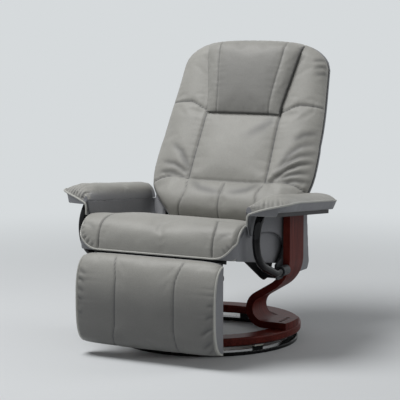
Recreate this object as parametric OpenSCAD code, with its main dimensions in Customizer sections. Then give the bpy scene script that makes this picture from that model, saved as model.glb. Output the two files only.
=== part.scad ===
// Swivel recliner: a push-back reclining chair on a round wooden base.
// The origin lies on the floor at the swivel axis, the chair faces -Y and +Z is up.
// Each left-hand piece is the mirror image of its right-hand one.

/* [Round base] */
// Outer radius of the wooden ring
ring_r = 312; // [290:1:330]
// Width of the wooden ring's band
ring_band = 66; // [60:1:74]
// Thickness of the wooden ring
ring_t = 26; // [20:1:34]
// Height of the wooden ring's underside above the floor
ring_z = 34; // [30:1:48]
// Outer radius of the steel ring on the floor
floor_ring_r = 302; // [298:1:306]
// Width of the steel ring on the floor
floor_ring_band = 30; // [26:1:36]
// Thickness of the steel ring on the floor
floor_ring_t = 12; // [8:1:14]
// Number of posts between the rings
post_count = 6; // [4:1:8]
// Width of one post along the ring
post_w = 32; // [24:1:38]

/* [Bentwood legs] */
// Thickness of the bent board
leg_t = 23; // [18:1:26]
// Width of the bent board, front to back
leg_w = 110; // [90:1:130]
// Mid radius of the upper bend
upper_bend_r = 105; // [95:1:115]
// Height of the upper bend's centre
upper_bend_z = 290; // [280:1:300]
// Mid radius of the lower bend
lower_bend_r = 50.5; // [46:0.5:56]
// Distance from the middle of the chair to the lower bend's centre
lower_bend_x = 228; // [222:1:234]

/* [Arms] */
// Height of the arm board's underside at the swivel axis
arm_z = 437; // [430:1:450]
// Slope of the arms, lower at the rear, in degrees
arm_slope = 5.4; // [4:0.1:7]
// Gap between the side of the seat and the arm's inner face
arm_gap = 3; // [3:1:6]
// Width of the arm pad at its outer tip
arm_pad_w = 129; // [118:1:136]
// Crown height of the arm pad above its board
arm_pad_h = 56; // [46:1:64]
// Diameter of the bent arm tube
arm_tube_d = 25; // [20:1:26]

/* [Seat] */
// Half width of the seat
seat_half_w = 279; // [272:1:279]
// Slope of the seat, lower at the rear, in degrees
seat_slope = 9.6; // [9:0.1:10]
// Length of the seat cushion along its slope
seat_len = 452; // [440:1:454]
// Height of the seat cushion's side edge above the seat frame's underside
seat_side_h = 117; // [110:1:122]
// Extra height of the seat cushion's crown
seat_crown = 14; // [8:1:16]
// Travel of the seat as the back reclines
seat_travel = 50; // [40:1:54]

/* [Back] */
// Lean of the back from upright, in degrees
back_lean = 30.35; // [29:0.05:31]
// How far the back's widest part stands out past the side of the seat
back_over = 16; // [7:1:19]
// Height of the back above its lower seam, along its slope
back_top = 532; // [510:1:545]
// Thickness of the padding in front of the back board
back_pad_t = 42; // [34:1:46]
// Depth of the rounded rear shell at its middle
back_shell_t = 34; // [26:1:44]

/* [Footrest] */
// Half width of the footrest
foot_half_w = 245; // [232:1:250]
// Height of the footrest's lower edge above the floor
foot_low_z = 48; // [40:1:70]
// Height of the footrest's upper edge above the floor
foot_high_z = 333; // [322:1:334]
// Thickness of the footrest pad at its crown
foot_pad_t = 74; // [60:1:80]

/* [Hidden] */

// Clearances: between a turning pin and its hole, and between pieces that lie against each other
pin_gap = 0.05;
lay_gap = 0.3;
eps = 0.01;

// Base
post_depth = 14;
post_out = floor_ring_r - 2;
post_first = -30;
track_t = 3;
shoe_h = 6;
track_in = post_out - post_depth - lay_gap - 3;
track_out = post_out + 4;
track_lip = 5;
track_screw_r = 2.5;
track_screw_at = 295;
track_screw_len = 18;
track_head_r = 4.6;
track_head_h = 1.6;
ring_edge = 5;
ring_top = ring_z + ring_t;

// Sides: each line of pieces lies against the next one, outwards from the seat
arm_in = seat_half_w + arm_gap;
arm_panel_t = 8.5;
panel_gap = 0.5;
bracket_t = 7;
leg_in = arm_in + arm_panel_t + panel_gap + bracket_t;
leg_out = leg_in + leg_t;

// Legs
leg_y0 = -49;
leg_mid_x = leg_out - leg_t / 2;
foot_mid_z = ring_top + leg_t / 2;
foot_y0 = leg_y0;
lower_bend_z = foot_mid_z + lower_bend_r;
upper_bend_x = leg_mid_x - upper_bend_r;
bend_dx = upper_bend_x - lower_bend_x;
bend_dz = upper_bend_z - lower_bend_z;
bend_dist = sqrt(bend_dx * bend_dx + bend_dz * bend_dz);
// Heading of the straight between the two bends, which it touches
mid_heading = acos((upper_bend_r + lower_bend_r) / bend_dist) + atan2(-bend_dx, bend_dz);
joint_lap = 1;
bend_gap = 0.03;
bolt_x = ring_r - ring_band / 2;
bolt_pitch = 20;
bolt_rows = 4;
bolt_mid_y = leg_y0 + leg_w / 2;
bolt_r = 4;
bolt_head_r = 6.5;
bolt_head_h = 7;
bolt_sink = 10;
bolt_len = 34;

// Leg brackets, outriggers and side plates
bracket_front = -102;
bracket_back = 40;
bracket_low = 232;
bracket_step = 300;
bracket_high = 336;
bracket_ear = upper_bend_z + 1;
bracket_screw_r = 4;
bracket_screw_head = 7;
bracket_screw_len = 22;
bracket_screw_at = [[-32, 316], [-4, 316], [24, 316]];
sleeve_len = 44;
sleeve_wall = 4;
out_y0 = -98;
out_y1 = leg_y0 - 2;
out_z0 = 238;
out_h = 24;
out_wall = 3;
plate_t = 6;
rail_x = seat_half_w - 53;
rail_t = 6;
side_plate_x = rail_x + rail_t + 4;
// Outline of a side plate, as [y, z]
plate_outline = [[-264, 341], [-7, 298], [-11, 270], [-27, 231], [-72, 225], [-95, 236], [-215, 306], [-267, 319]];

// Arms
arm_board_t = 12;
arm_board_x0 = arm_in + 9;
arm_tip_x = arm_in + arm_pad_w;
arm_mid_out = arm_tip_x - 21;
arm_board_x1 = arm_mid_out - 18;
arm_board_y0 = -268;
// The seat's rear edge, along the floor: the back and the rear ends of the arms follow it
seat_shift = seat_len - 452;
arm_pad_y1 = 172 + seat_shift * cos(seat_slope);
arm_board_y1 = arm_pad_y1 - 22;
// The panel's lower edge passes over the leg's upper bend
panel_notch = 260;
panel_front = -300;
panel_top = 500;
// Arch of the panel's lower edge: its centre and its half width and height, as [y, z]
panel_arch = [-196, 321];
panel_arch_r = [172, 75];
panel_low = 228;
arm_pad_y0 = -302;
arm_tip_y = -266;
arm_screw_r = 3;
arm_screw_head = 6;
arm_tube_x = leg_in + 14;
arm_curve_y = -190;
arm_curve_z = 385;
arm_curve_r = 96;
arm_curve_end = 248.5;
arm_curve_start = 118;
arm_tail_r = 60;
arm_tail_z = 262;

// Seat: the seat's own frame has y along the slope and z square to it
seat_y = -357;
seat_z = 328;
seat_frame_t = 16;
seat_frame_h = 50;
seat_frame_drop = 4;
deck_t = 10;
deck_low = 46;
notch_t = 36;
lip_depth = 22;
seat_corner_r = 46;
seat_bulge = 30;
rail_rear = seat_len + 5;
hanger_x = 156;
hanger_low = -40;
tube_r = 10;
tube_level = 18;
tube_front_s = 200;
tube_rear_s = 330;

// Lift linkage of the footrest: two equal links a side and a carrier that they keep level
link_len = 50;
link_rest = -50;
link_w = 20;
link_x = 147;
carrier_x = 138;
foot_bracket_x = 129;
rivet_r = 4;
front_pivot = [-318, 294];
rear_pivot = [-228, 279];
foot_hinge = [-352, 308];
carrier_tube_at = [-264, 279];
carrier_tube_r = 8;

// Footrest
foot_rear_y = -375;
foot_board_t = 9;
foot_bracket_low = 190;

// Back: the back's own frame has x across, y towards the rear and z along its slope
back_y = 174 + seat_shift * cos(seat_slope);
back_z = 500 - seat_shift * sin(seat_slope);
back_pivot = [back_y - 53, back_z - 162];
back_pivot_r = 6;
back_arm_x = rail_x - 7.5;
back_low = -146;
back_half_w = seat_half_w + back_over;
back_low_half = seat_half_w - 79;
back_board_t = 10;
back_bend_from = 174;
back_bend_k = 0.000268;
back_corner_drop = 75;
back_seam_x = 132;
back_upper_seam = 300;
pillow_low = 252;
pillow_low_half = 138;
pillow_top_half = 184;
pillow_t = 34;
pillow_lift = 4;

// A bump of unit height and the given half width
function bump(d, w) = exp(-(d / w) * (d / w));
// From 0 to 1 as v goes from a to b, with a soft start and end
function ease(v, a, b) =
    let (t = min(1, max(0, (v - a) / (b - a)))) t * t * (3 - 2 * t);
function lerp(a, b, t) = a + (b - a) * t;
// Points from -1 to 1, closer together near both ends
function spread(n) = [for (i = [0 : n]) sin(90 * (2 * i / n - 1))];

// Closed skin through rings of equal length; each ring runs along one face and back along the other
module loft(rings) {
    n = len(rings);
    m = len(rings[0]);
    pts = [for (r = rings) each r];
    walls = [for (j = [0 : n - 2], i = [0 : m - 1])
        let (a = j * m + i, b = j * m + (i + 1) % m, c = a + m, d = b + m)
        each [[a, b, d], [a, d, c]]];
    function cap(base, up) = [for (i = [0 : m / 2 - 2])
        let (a = base + i, b = base + i + 1, c = base + m - 2 - i, d = base + m - 1 - i)
        each (up ? [[a, b, d], [b, c, d]] : [[d, b, a], [d, c, b]])];
    polyhedron(points = pts, faces = concat(walls, cap(0, false), cap((n - 1) * m, true)), convexity = 6);
}

// Bar with rounded corners as a plain outline, w by h, from the origin
module rounded_bar(w, h, r) {
    translate([r, 0]) square([w - 2 * r, h]);
    translate([0, r]) square([w, h - 2 * r]);
    for (x = [r, w - r], y = [r, h - r]) translate([x, y]) circle(r = r, $fn = 24);
}

// Slot with round ends, along x, from the first end's centre to the second's
module slot(len, r) {
    translate([0, -r]) square([len, 2 * r]);
    for (x = [0, len]) translate([x, 0]) circle(r = r, $fn = 48);
}

// Outline in the plane x = 0, given as [y, z] points, made into a plate from x0 outwards
module plate_yz(x0, t) {
    translate([x0, 0, 0]) rotate([90, 0, 90]) linear_extrude(t) children();
}

// Cylinder along X from x0 to x1 at [y, z]
module rod_x(x0, x1, at, r, fn = 48) {
    translate([x0, at[0], at[1]]) rotate([0, 90, 0]) cylinder(h = x1 - x0, r = r, $fn = fn);
}

module both_sides() {
    children();
    mirror([1, 0, 0]) children();
}

module seat_place() {
    translate([0, seat_y, seat_z]) rotate([-seat_slope, 0, 0]) children();
}

module arm_place() {
    translate([0, 0, arm_z]) rotate([-arm_slope, 0, 0]) children();
}

module back_place() {
    translate([0, back_y, back_z]) rotate([-back_lean, 0, 0]) children();
}

// Round base

module floor_ring() {
    color("#1d1d1f")
    rotate_extrude($fn = 96)
        translate([floor_ring_r - floor_ring_band, 0]) rounded_bar(floor_ring_band, floor_ring_t, 2);
}

module at_posts() {
    for (i = [0 : post_count - 1]) rotate(post_first + i * 360 / post_count) children();
}

module ring_posts() {
    color("#202022")
    at_posts()
        translate([post_out - post_depth, -post_w / 2, floor_ring_t])
            cube([post_depth, post_w, ring_z - track_t - shoe_h - floor_ring_t]);
}

module glide_shoes() {
    color("#d8d8d2")
    at_posts()
        translate([post_out - post_depth, -post_w / 2, ring_z - track_t - shoe_h])
            cube([post_depth, post_w, shoe_h - lay_gap]);
}

module at_track_screws() {
    for (i = [0 : post_count - 1]) rotate(post_first + (i + 0.5) * 360 / post_count)
        translate([track_screw_at, 0, ring_z - track_t]) children();
}

module track_ring() {
    color("#2a2a2c")
    difference() {
        rotate_extrude($fn = 96) {
            translate([track_in, ring_z - track_t]) square([track_out - track_in, track_t]);
            translate([track_in, ring_z - track_t - track_lip]) square([3 - eps, track_lip + eps]);
        }
        at_track_screws() translate([0, 0, -eps]) {
            cylinder(h = track_t + 2 * eps, r = track_screw_r + pin_gap, $fn = 24);
            cylinder(h = track_head_h + lay_gap + eps, r = track_head_r + lay_gap, $fn = 24);
        }
    }
}

module track_screws() {
    color("#8a8a8c")
    at_track_screws() {
        translate([0, 0, lay_gap]) cylinder(h = track_screw_len - lay_gap, r = track_screw_r, $fn = 24);
        translate([0, 0, lay_gap]) cylinder(h = track_head_h, r = track_head_r, $fn = 24);
    }
}

module at_foot_bolts() {
    for (i = [0 : bolt_rows - 1])
        translate([bolt_x, bolt_mid_y + (i - (bolt_rows - 1) / 2) * bolt_pitch, ring_top + leg_t - bolt_sink]) children();
}

module foot_bolt_holes() {
    at_foot_bolts() {
        translate([0, 0, -bolt_len]) cylinder(h = bolt_len + 1, r = bolt_r + pin_gap, $fn = 32);
        cylinder(h = bolt_sink + 1, r = bolt_head_r + lay_gap, $fn = 32);
    }
}

module wood_ring() {
    color("#5a2420")
    difference() {
        rotate_extrude($fn = 120)
            translate([ring_r - ring_band, ring_z]) rounded_bar(ring_band, ring_t, ring_edge);
        both_sides() foot_bolt_holes();
        at_track_screws() translate([0, 0, track_t - 1]) cylinder(h = track_screw_len, r = track_screw_r + pin_gap, $fn = 24);
    }
}

// Bentwood legs

// A bend is a hair thinner than the straights, which reach 1 mm into it
module bend_piece(x, z, r, from, turn) {
    translate([x, leg_y0 + leg_w, z]) rotate([90, 0, 0]) rotate(from)
        rotate_extrude(angle = turn, $fn = 120) translate([r - leg_t / 2 + bend_gap, bend_gap])
            square([leg_t - 2 * bend_gap, leg_w - 2 * bend_gap]);
}

module leg_body() {
    // Foot on the ring, cut to the ring's own round edge
    intersection() {
        translate([lower_bend_x - joint_lap, foot_y0, ring_top]) cube([ring_r, leg_w, leg_t]);
        translate([0, 0, ring_top - 1]) cylinder(h = leg_t + 2, r = ring_r, $fn = 120);
    }
    bend_piece(lower_bend_x, lower_bend_z, lower_bend_r, 90 + mid_heading, 180 - mid_heading);
    translate([lower_bend_x, leg_y0, lower_bend_z]) rotate([0, -mid_heading, 0])
        translate([-joint_lap, 0, lower_bend_r - leg_t / 2])
            cube([bend_dist * sin(acos((upper_bend_r + lower_bend_r) / bend_dist)) + 2 * joint_lap, leg_w, leg_t]);
    bend_piece(upper_bend_x, upper_bend_z, upper_bend_r, mid_heading - 90, 90 - mid_heading);
    translate([leg_in, leg_y0, upper_bend_z - joint_lap]) cube([leg_t, leg_w, arm_z - upper_bend_z + 40]);
}

module leg() {
    color("#642a26")
    difference() {
        leg_body();
        // The top is cut to the slope of the arm board
        arm_place() translate([leg_in - 5, leg_y0 - 60, 0]) cube([leg_t + 10, leg_w + 120, 90]);
        foot_bolt_holes();
        bracket_screw_holes();
    }
}

module leg_right() { leg(); }
module leg_left() { mirror([1, 0, 0]) leg(); }

module foot_bolts() {
    color("#26262a")
    both_sides() at_foot_bolts() {
        translate([0, 0, -bolt_len + 1]) cylinder(h = bolt_len - 1, r = bolt_r, $fn = 32);
        difference() {
            cylinder(h = bolt_head_h, r = bolt_head_r, $fn = 32);
            translate([0, 0, bolt_head_h - 4]) cylinder(h = 5, r = 3, $fn = 6);
        }
    }
}

// Brackets between the legs and the seat's mechanism

module bracket_screw_holes() {
    for (p = bracket_screw_at)
        rod_x(leg_in - bracket_t - 1, leg_in + bracket_screw_len, p, bracket_screw_r + pin_gap, 32);
}

module leg_bracket() {
    color("#46484a")
    difference() {
        union() {
            plate_yz(leg_in - bracket_t, bracket_t)
                polygon([[bracket_front, bracket_low + 12], [bracket_front + 12, bracket_low],
                    [leg_y0 - 1, bracket_low], [leg_y0 - 1, bracket_ear], [bracket_back - 8, bracket_ear],
                    [bracket_back, bracket_ear + 8], [bracket_back, bracket_high - 8],
                    [bracket_back - 8, bracket_high], [leg_y0 + 8, bracket_high], [leg_y0 - 16, bracket_step],
                    [bracket_front, bracket_step - 18]]);
            // Sleeve that grips the arm tube
            translate([arm_tube_x, bracket_front, arm_tail_z]) rotate([-90, 0, 0])
                cylinder(h = sleeve_len, r = arm_tube_d / 2 + sleeve_wall, $fn = 48);
            translate([leg_in - eps, bracket_front, arm_tail_z - 11]) cube([arm_tube_x - leg_in, sleeve_len, 22]);
        }
        translate([arm_tube_x, bracket_front - 1, arm_tail_z]) rotate([-90, 0, 0])
            cylinder(h = sleeve_len + 2, r = arm_tube_d / 2 + pin_gap, $fn = 48);
        bracket_screw_holes();
        for (p = bracket_screw_at)
            rod_x(leg_in - bracket_t - 1, leg_in - bracket_t + 4, p, bracket_screw_head + lay_gap, 32);
    }
}

module leg_bracket_right() { leg_bracket(); }
module leg_bracket_left() { mirror([1, 0, 0]) leg_bracket(); }

module bracket_bolts() {
    color("#2c2c30")
    both_sides() for (p = bracket_screw_at) {
        rod_x(leg_in - bracket_t + 1, leg_in + bracket_screw_len - 1, p, bracket_screw_r, 32);
        rod_x(leg_in - bracket_t + 0.5, leg_in - bracket_t + 4, p, bracket_screw_head, 32);
    }
}

module outrigger() {
    color("#242426")
    difference() {
        translate([side_plate_x + plate_t, out_y0, out_z0])
            cube([leg_in - bracket_t - side_plate_x - plate_t, out_y1 - out_y0, out_h]);
        translate([side_plate_x, out_y0 + out_wall, out_z0 + out_wall])
            cube([leg_in, out_y1 - out_y0 - 2 * out_wall, out_h - 2 * out_wall]);
    }
}

module outrigger_right() { outrigger(); }
module outrigger_left() { mirror([1, 0, 0]) outrigger(); }

module cross_tube_solid(s, r, x1) {
    seat_place() rod_x(-x1, x1, [s, tube_level], r, 64);
}

module side_plate() {
    color("#1e1e20")
    difference() {
        plate_yz(side_plate_x, plate_t)
            polygon(plate_outline);
        cross_tube_solid(tube_front_s, tube_r + pin_gap, 300);
        cross_tube_solid(tube_rear_s, tube_r + pin_gap, 300);
    }
}

module side_plate_right() { side_plate(); }
module side_plate_left() { mirror([1, 0, 0]) side_plate(); }

module cross_tube(s) {
    color("#2a2a2c")
    difference() {
        cross_tube_solid(s, tube_r, side_plate_x + plate_t + 2);
        cross_tube_solid(s, tube_r - 2, 300);
    }
}

module cross_tube_front() { cross_tube(tube_front_s); }
module cross_tube_rear() { cross_tube(tube_rear_s); }

// Arms

module at_arm_screws() {
    for (p = [[arm_tube_x, -222], [leg_mid_x, leg_y0 + 24], [leg_mid_x, leg_y0 + 84]])
        translate([p[0], p[1], 0]) children();
}

module arm_board() {
    color("#17171a")
    arm_place() difference() {
        translate([arm_board_x0, arm_board_y0, 0])
            cube([arm_board_x1 - arm_board_x0, arm_board_y1 - arm_board_y0, arm_board_t]);
        at_arm_screws() {
            translate([0, 0, -1]) cylinder(h = arm_board_t + 2, r = arm_screw_r + pin_gap, $fn = 24);
            translate([0, 0, arm_board_t - 4]) cylinder(h = 5, r = arm_screw_head + lay_gap, $fn = 24);
        }
    }
}

module arm_board_right() { arm_board(); }
module arm_board_left() { mirror([1, 0, 0]) arm_board(); }

module arm_screws() {
    color("#3a3a3e")
    both_sides() arm_place() at_arm_screws() {
        translate([0, 0, 0.5]) cylinder(h = arm_board_t - 3, r = arm_screw_r, $fn = 24);
        translate([0, 0, arm_board_t - 3.8]) cylinder(h = 3.4, r = arm_screw_head, $fn = 24);
    }
}

// The bends are a hair thinner than the straights, which reach 1 mm into them
module tube_section() {
    circle(d = arm_tube_d - 0.08, $fn = 32);
}

// The arm tube lies in one upright plane: a large round bend, a straight, a small bend and the tail
module arm_tube() {
    head = arm_curve_end + 90 - 360;
    leave = [arm_curve_y + arm_curve_r * cos(arm_curve_end), arm_curve_z + arm_curve_r * sin(arm_curve_end)];
    drop = leave[1] - arm_tail_z - arm_tail_r * (1 - cos(head));
    run = drop / sin(-head);
    turn_y = leave[0] + run * cos(head);
    tail_y = turn_y + arm_tail_r * sin(-head);
    color("#161618")
    difference() {
        translate([arm_tube_x, 0, 0]) {
            translate([0, arm_curve_y, arm_curve_z]) rotate([90, 0, 90]) rotate(arm_curve_start)
                rotate_extrude(angle = arm_curve_end - arm_curve_start, $fn = 96)
                    translate([arm_curve_r, 0]) tube_section();
            translate([0, leave[0], leave[1]]) rotate([-90 + head, 0, 0])
                translate([0, 0, -1]) cylinder(h = run + 2, d = arm_tube_d, $fn = 32);
            translate([0, tail_y, arm_tail_z + arm_tail_r]) rotate([90, 0, 90]) rotate(270 + head)
                rotate_extrude(angle = -head, $fn = 96) translate([arm_tail_r, 0]) tube_section();
            translate([0, tail_y - 1, arm_tail_z]) rotate([-90, 0, 0])
                cylinder(h = bracket_front + sleeve_len - 1 - tail_y, d = arm_tube_d, $fn = 32);
        }
        // The top end is cut to the underside of the arm board
        arm_place() translate([arm_tube_x - 30, -330, 0]) cube([60, 200, 80]);
    }
}

module arm_tube_right() { arm_tube(); }
module arm_tube_left() { mirror([1, 0, 0]) arm_tube(); }

// Inner side panel of the arm: its lower edge arches over the mechanism in front of the leg
module arm_panel() {
    color("#5f6168")
    difference() {
        plate_yz(arm_in, arm_panel_t)
            polygon(concat(
                [[panel_front, panel_top], [panel_front, panel_top - 32], [panel_front + 21, panel_top - 102]],
                [for (a = [0 : 12 : 84]) panel_arch + [panel_arch_r[0] * sin(a), panel_arch_r[1] * cos(a)]],
                [[leg_y0 + 22, 286], [leg_y0 + 22, panel_notch], [leg_y0 + leg_w + 3, panel_notch],
                    [leg_y0 + leg_w + 3, panel_low], [arm_pad_y1 - 2, panel_low], [arm_pad_y1 + 10, panel_low + 22],
                    [arm_pad_y1 - 6, panel_top - 100], [arm_pad_y1 - 14, panel_top]]));
        arm_place() translate([arm_in - 5, arm_pad_y0 - 40, arm_board_t])
            cube([arm_panel_t + 10, arm_pad_y1 - arm_pad_y0 + 120, panel_top]);
    }
}

module arm_panel_right() { arm_panel(); }
module arm_panel_left() { mirror([1, 0, 0]) arm_panel(); }

// Arm pad: one closed section at each station along the arm, in the arm's own frame
function arm_outer(y) =
    y < arm_tip_y ? lerp(arm_in + 22, arm_tip_x, (y - arm_pad_y0) / (arm_tip_y - arm_pad_y0))
    : lerp(arm_tip_x, arm_mid_out, ease(y, arm_tip_y, arm_tip_y + 120)) - 18 * ease(y, arm_pad_y1 - 60, arm_pad_y1);
function arm_inner(y) = arm_in + 26 * ease(y, arm_pad_y1 - 46, arm_pad_y1);
function arm_crown(y) =
    arm_pad_h * (0.3 + 0.7 * sqrt(ease(y, arm_pad_y0 - 4, arm_tip_y + 52))) * (1 - 0.55 * ease(y, arm_pad_y1 - 70, arm_pad_y1));
function arm_edge(y) = 0.52 * arm_crown(y) + 2;
function arm_ring(y) =
    let (xi = arm_inner(y), xo = arm_outer(y), h = arm_crown(y), e = arm_edge(y), w = xo - xi,
        z0 = arm_board_t + lay_gap, xb = min(arm_board_x1 + 2, xo - 6))
    concat(
        [[xi, y, z0]],
        [for (a = [8 : 16 : 88]) [xi + 0.42 * w * (1 - cos(a)), y, z0 + h * sin(a)]],
        [for (t = [0.25, 0.5, 0.75]) [lerp(xi + 0.42 * w, xo, t), y, z0 + lerp(h, e, t * t)]],
        [[xo, y, z0 + e], [xo - 3, y, z0 + 0.78 * e]],
        [[lerp(xo, xb, 0.7), y, z0 + 0.3 * e], [xb, y, z0]],
        [for (i = [1 : 7]) [lerp(xb, xi, i / 9), y, z0]],
        [[lerp(xb, xi, 8 / 9), y, z0]]);

module arm_pad() {
    stations = [for (t = spread(20)) lerp(arm_pad_y1, arm_pad_y0, (t + 1) / 2)];
    color("#9b9b96")
    arm_place() loft([for (y = stations) arm_ring(y)]);
}

module arm_pad_right() { arm_pad(); }
module arm_pad_left() { mirror([1, 0, 0]) arm_pad(); }

// Seat

function slope_point(p) = // [y, z] of the chair as [s, t] of the seat's own frame
    let (dy = p[0] - seat_y, dz = p[1] - seat_z)
    [dy * cos(seat_slope) - dz * sin(seat_slope), dy * sin(seat_slope) + dz * cos(seat_slope)];

module seat_rail() {
    bp = slope_point(back_pivot);
    top = deck_low - lay_gap;
    color("#232325")
    seat_place() plate_yz(rail_x, rail_t) difference() {
        union() {
            polygon([[60, top], [60, 5], [rail_rear - 20, 5], [rail_rear + 12, 14], [bp[0] + 14, bp[1] - 6],
                [bp[0] - 8, bp[1] + 12], [rail_rear - 3, 60], [rail_rear - 3, notch_t - lay_gap],
                [rail_rear - 30, notch_t - lay_gap], [rail_rear - 34, top]]);
            translate(bp) circle(r = 15, $fn = 48);
        }
        translate(bp) circle(r = back_pivot_r + pin_gap, $fn = 48);
        for (s = [tube_front_s, tube_rear_s]) translate([s, tube_level]) slot(seat_travel, tube_r + pin_gap);
    }
}

module seat_rail_right() { seat_rail(); }
module seat_rail_left() { mirror([1, 0, 0]) seat_rail(); }

// Plate under the seat deck that carries the two pivots of the footrest's links
module link_hanger() {
    g1 = slope_point(front_pivot);
    g2 = slope_point(rear_pivot);
    color("#232325")
    seat_place() plate_yz(hanger_x, rail_t) difference() {
        polygon([[lip_depth + seat_frame_t + 2, deck_low - lay_gap], [lip_depth + seat_frame_t + 2, 0], [g1[0] - 13, g1[1] - 4], [g1[0] - 6, hanger_low],
            [g2[0] + 8, hanger_low], [g2[0] + 14, g2[1]], [g2[0] + 8, deck_low - lay_gap]]);
        for (g = [g1, g2]) translate(g) circle(r = rivet_r + pin_gap, $fn = 48);
    }
}

module link_hanger_right() { link_hanger(); }
module link_hanger_left() { mirror([1, 0, 0]) link_hanger(); }

// Outline of the seat from above: only its two front corners are rounded
module seat_outline(x, s0, s1, r) {
    translate([-x, s0 + r]) square([2 * x, s1 - s0 - r]);
    translate([-x + r, s0]) square([2 * (x - r), r + eps]);
    for (c = [-x + r, x - r]) translate([c, s0 + r]) circle(r = r, $fn = 96);
}

// Timber frame under the cushion, behind the leather boxing
module seat_frame() {
    x = seat_half_w - 2;
    s0 = lip_depth + 1;
    s1 = seat_len - 2;
    t = seat_frame_t;
    color("#57595f")
    seat_place() difference() {
        translate([0, 0, seat_frame_drop]) linear_extrude(deck_low - lay_gap - seat_frame_drop)
            difference() {
                seat_outline(x, s0, s1, seat_corner_r - 1);
                seat_outline(x - t, s0 + t, s1 - t, seat_corner_r - 1 - t);
            }
        // Rear member is notched round the two steel rails
        both_sides() translate([rail_x - 2, s1 - t - 1, 0]) cube([rail_t + 4, t + 3, notch_t]);
    }
}

module seat_deck() {
    color("#b08b5c")
    seat_place() translate([0, 0, deck_low])
        linear_extrude(deck_t) seat_outline(seat_half_w - 4, lip_depth + 2, seat_len - 3, seat_corner_r - 3);
}

// Seat cushion: one section at each station across the seat; it rolls over the front edge
function seat_ring(u) =
    let (x = u * seat_half_w, a = abs(u),
        round = max(0, abs(x) - (seat_half_w - seat_corner_r)),
        inset = seat_corner_r - sqrt(seat_corner_r * seat_corner_r - round * round),
        full = pow(1 - pow(a, 5), 0.5),
        channel = 5 * bump(abs(x) - 200, 7),
        top = seat_side_h + seat_crown * full - channel,
        low = 6 + 40 * (1 - sqrt(1 - pow(min(1, round / seat_corner_r), 2))) * 0.9,
        front = inset - seat_bulge * full + channel * 0.6,
        base = deck_low + deck_t + lay_gap,
        rr = 62, inner = lip_depth - lay_gap, f = inset)
    concat(
        [[x, lerp(front, inner + f, 0.4), low], [x, lerp(front, inner + f, 0.14), low + 10],
            [x, front, lerp(low + 10, top - rr, 0.6)]],
        [for (b = [14 : 19 : 90]) [x, front + rr * (1 - cos(b)), top - rr + rr * sin(b)]],
        [for (s = [0.35, 0.55, 0.75, 0.9]) [x, s * seat_len, top - 3 * s]],
        [[x, seat_len - 6, top - 14], [x, seat_len, top - 34]],
        [[x, seat_len - 0.5, base]],
        [for (s = [0.9, 0.72, 0.5, 0.28, 0.1]) [x, lerp(inner + f + 30, seat_len, s), base]],
        [[x, inner + f + 26, base], [x, inner + f + 14, base], [x, inner + f + 6, base], [x, inner + f + 1.5, base]],
        [[x, inner + f, base - 3], [x, inner + f, lerp(base, low, 0.7)], [x, inner + f, low]],
        [[x, lerp(front, inner + f, 0.7), low]]);

module seat_cushion() {
    color("#a2a29c")
    seat_place() loft([for (u = spread(24)) seat_ring(u)]);
}

module link_rivets() {
    color("#77787c")
    both_sides() for (p = [front_pivot, rear_pivot]) {
        rod_x(link_x - 0.3, hanger_x + rail_t, p, rivet_r);
        rod_x(link_x - 2.4, link_x - 0.3, p, rivet_r + 3);
        rod_x(hanger_x + rail_t, hanger_x + rail_t + 3, p, rivet_r + 4);
    }
}

// Footrest linkage

function link_end(p) = [p[0] + link_len * cos(link_rest), p[1] + link_len * sin(link_rest)];

module link_plate(p, x) {
    q = link_end(p);
    plate_yz(x, plate_t) difference() {
        union() {
            translate(p) rotate(link_rest) translate([0, -link_w / 2]) square([link_len, link_w]);
            for (c = [p, q]) translate(c) circle(r = link_w / 2, $fn = 48);
        }
        for (c = [p, q]) translate(c) circle(r = rivet_r + pin_gap, $fn = 48);
    }
}

module front_link_right() { color("#3a3b3e") link_plate(front_pivot, link_x); }
module front_link_left() { mirror([1, 0, 0]) front_link_right(); }
module rear_link_right() { color("#3a3b3e") link_plate(rear_pivot, link_x); }
module rear_link_left() { mirror([1, 0, 0]) rear_link_right(); }

module carrier() {
    a = link_end(front_pivot);
    b = link_end(rear_pivot);
    color("#2d2e31")
    plate_yz(carrier_x, plate_t) difference() {
        union() {
            polygon([a + [0, -11], b + [0, -10], b + [2, 10], carrier_tube_at + [4, 12],
                foot_hinge + [8, 9], foot_hinge + [-8, -9]]);
            for (c = [a, b, foot_hinge]) translate(c) circle(r = 11, $fn = 48);
            translate(carrier_tube_at) circle(r = 13, $fn = 48);
        }
        for (c = [a, b, foot_hinge]) translate(c) circle(r = rivet_r + pin_gap, $fn = 48);
        translate(carrier_tube_at) circle(r = carrier_tube_r + pin_gap, $fn = 48);
    }
}

module carrier_right() { carrier(); }
module carrier_left() { mirror([1, 0, 0]) carrier(); }

module carrier_tube() {
    color("#2a2a2c")
    difference() {
        rod_x(-carrier_x - plate_t, carrier_x + plate_t, carrier_tube_at, carrier_tube_r);
        rod_x(-300, 300, carrier_tube_at, carrier_tube_r - 1.5);
    }
}

module carrier_rivets() {
    color("#77787c")
    both_sides() {
        for (p = [link_end(front_pivot), link_end(rear_pivot)]) {
            rod_x(carrier_x, link_x + plate_t + 0.3, p, rivet_r);
            rod_x(carrier_x - 2.5, carrier_x, p, rivet_r + 3);
            rod_x(link_x + plate_t + 0.3, link_x + plate_t + 1.6, p, rivet_r + 2);
        }
        rod_x(foot_bracket_x - 0.3, carrier_x + plate_t, foot_hinge, rivet_r);
        rod_x(foot_bracket_x - 2.6, foot_bracket_x - 0.3, foot_hinge, rivet_r + 3);
        rod_x(carrier_x + plate_t, carrier_x + plate_t + 2.4, foot_hinge, rivet_r + 3);
    }
}

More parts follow.
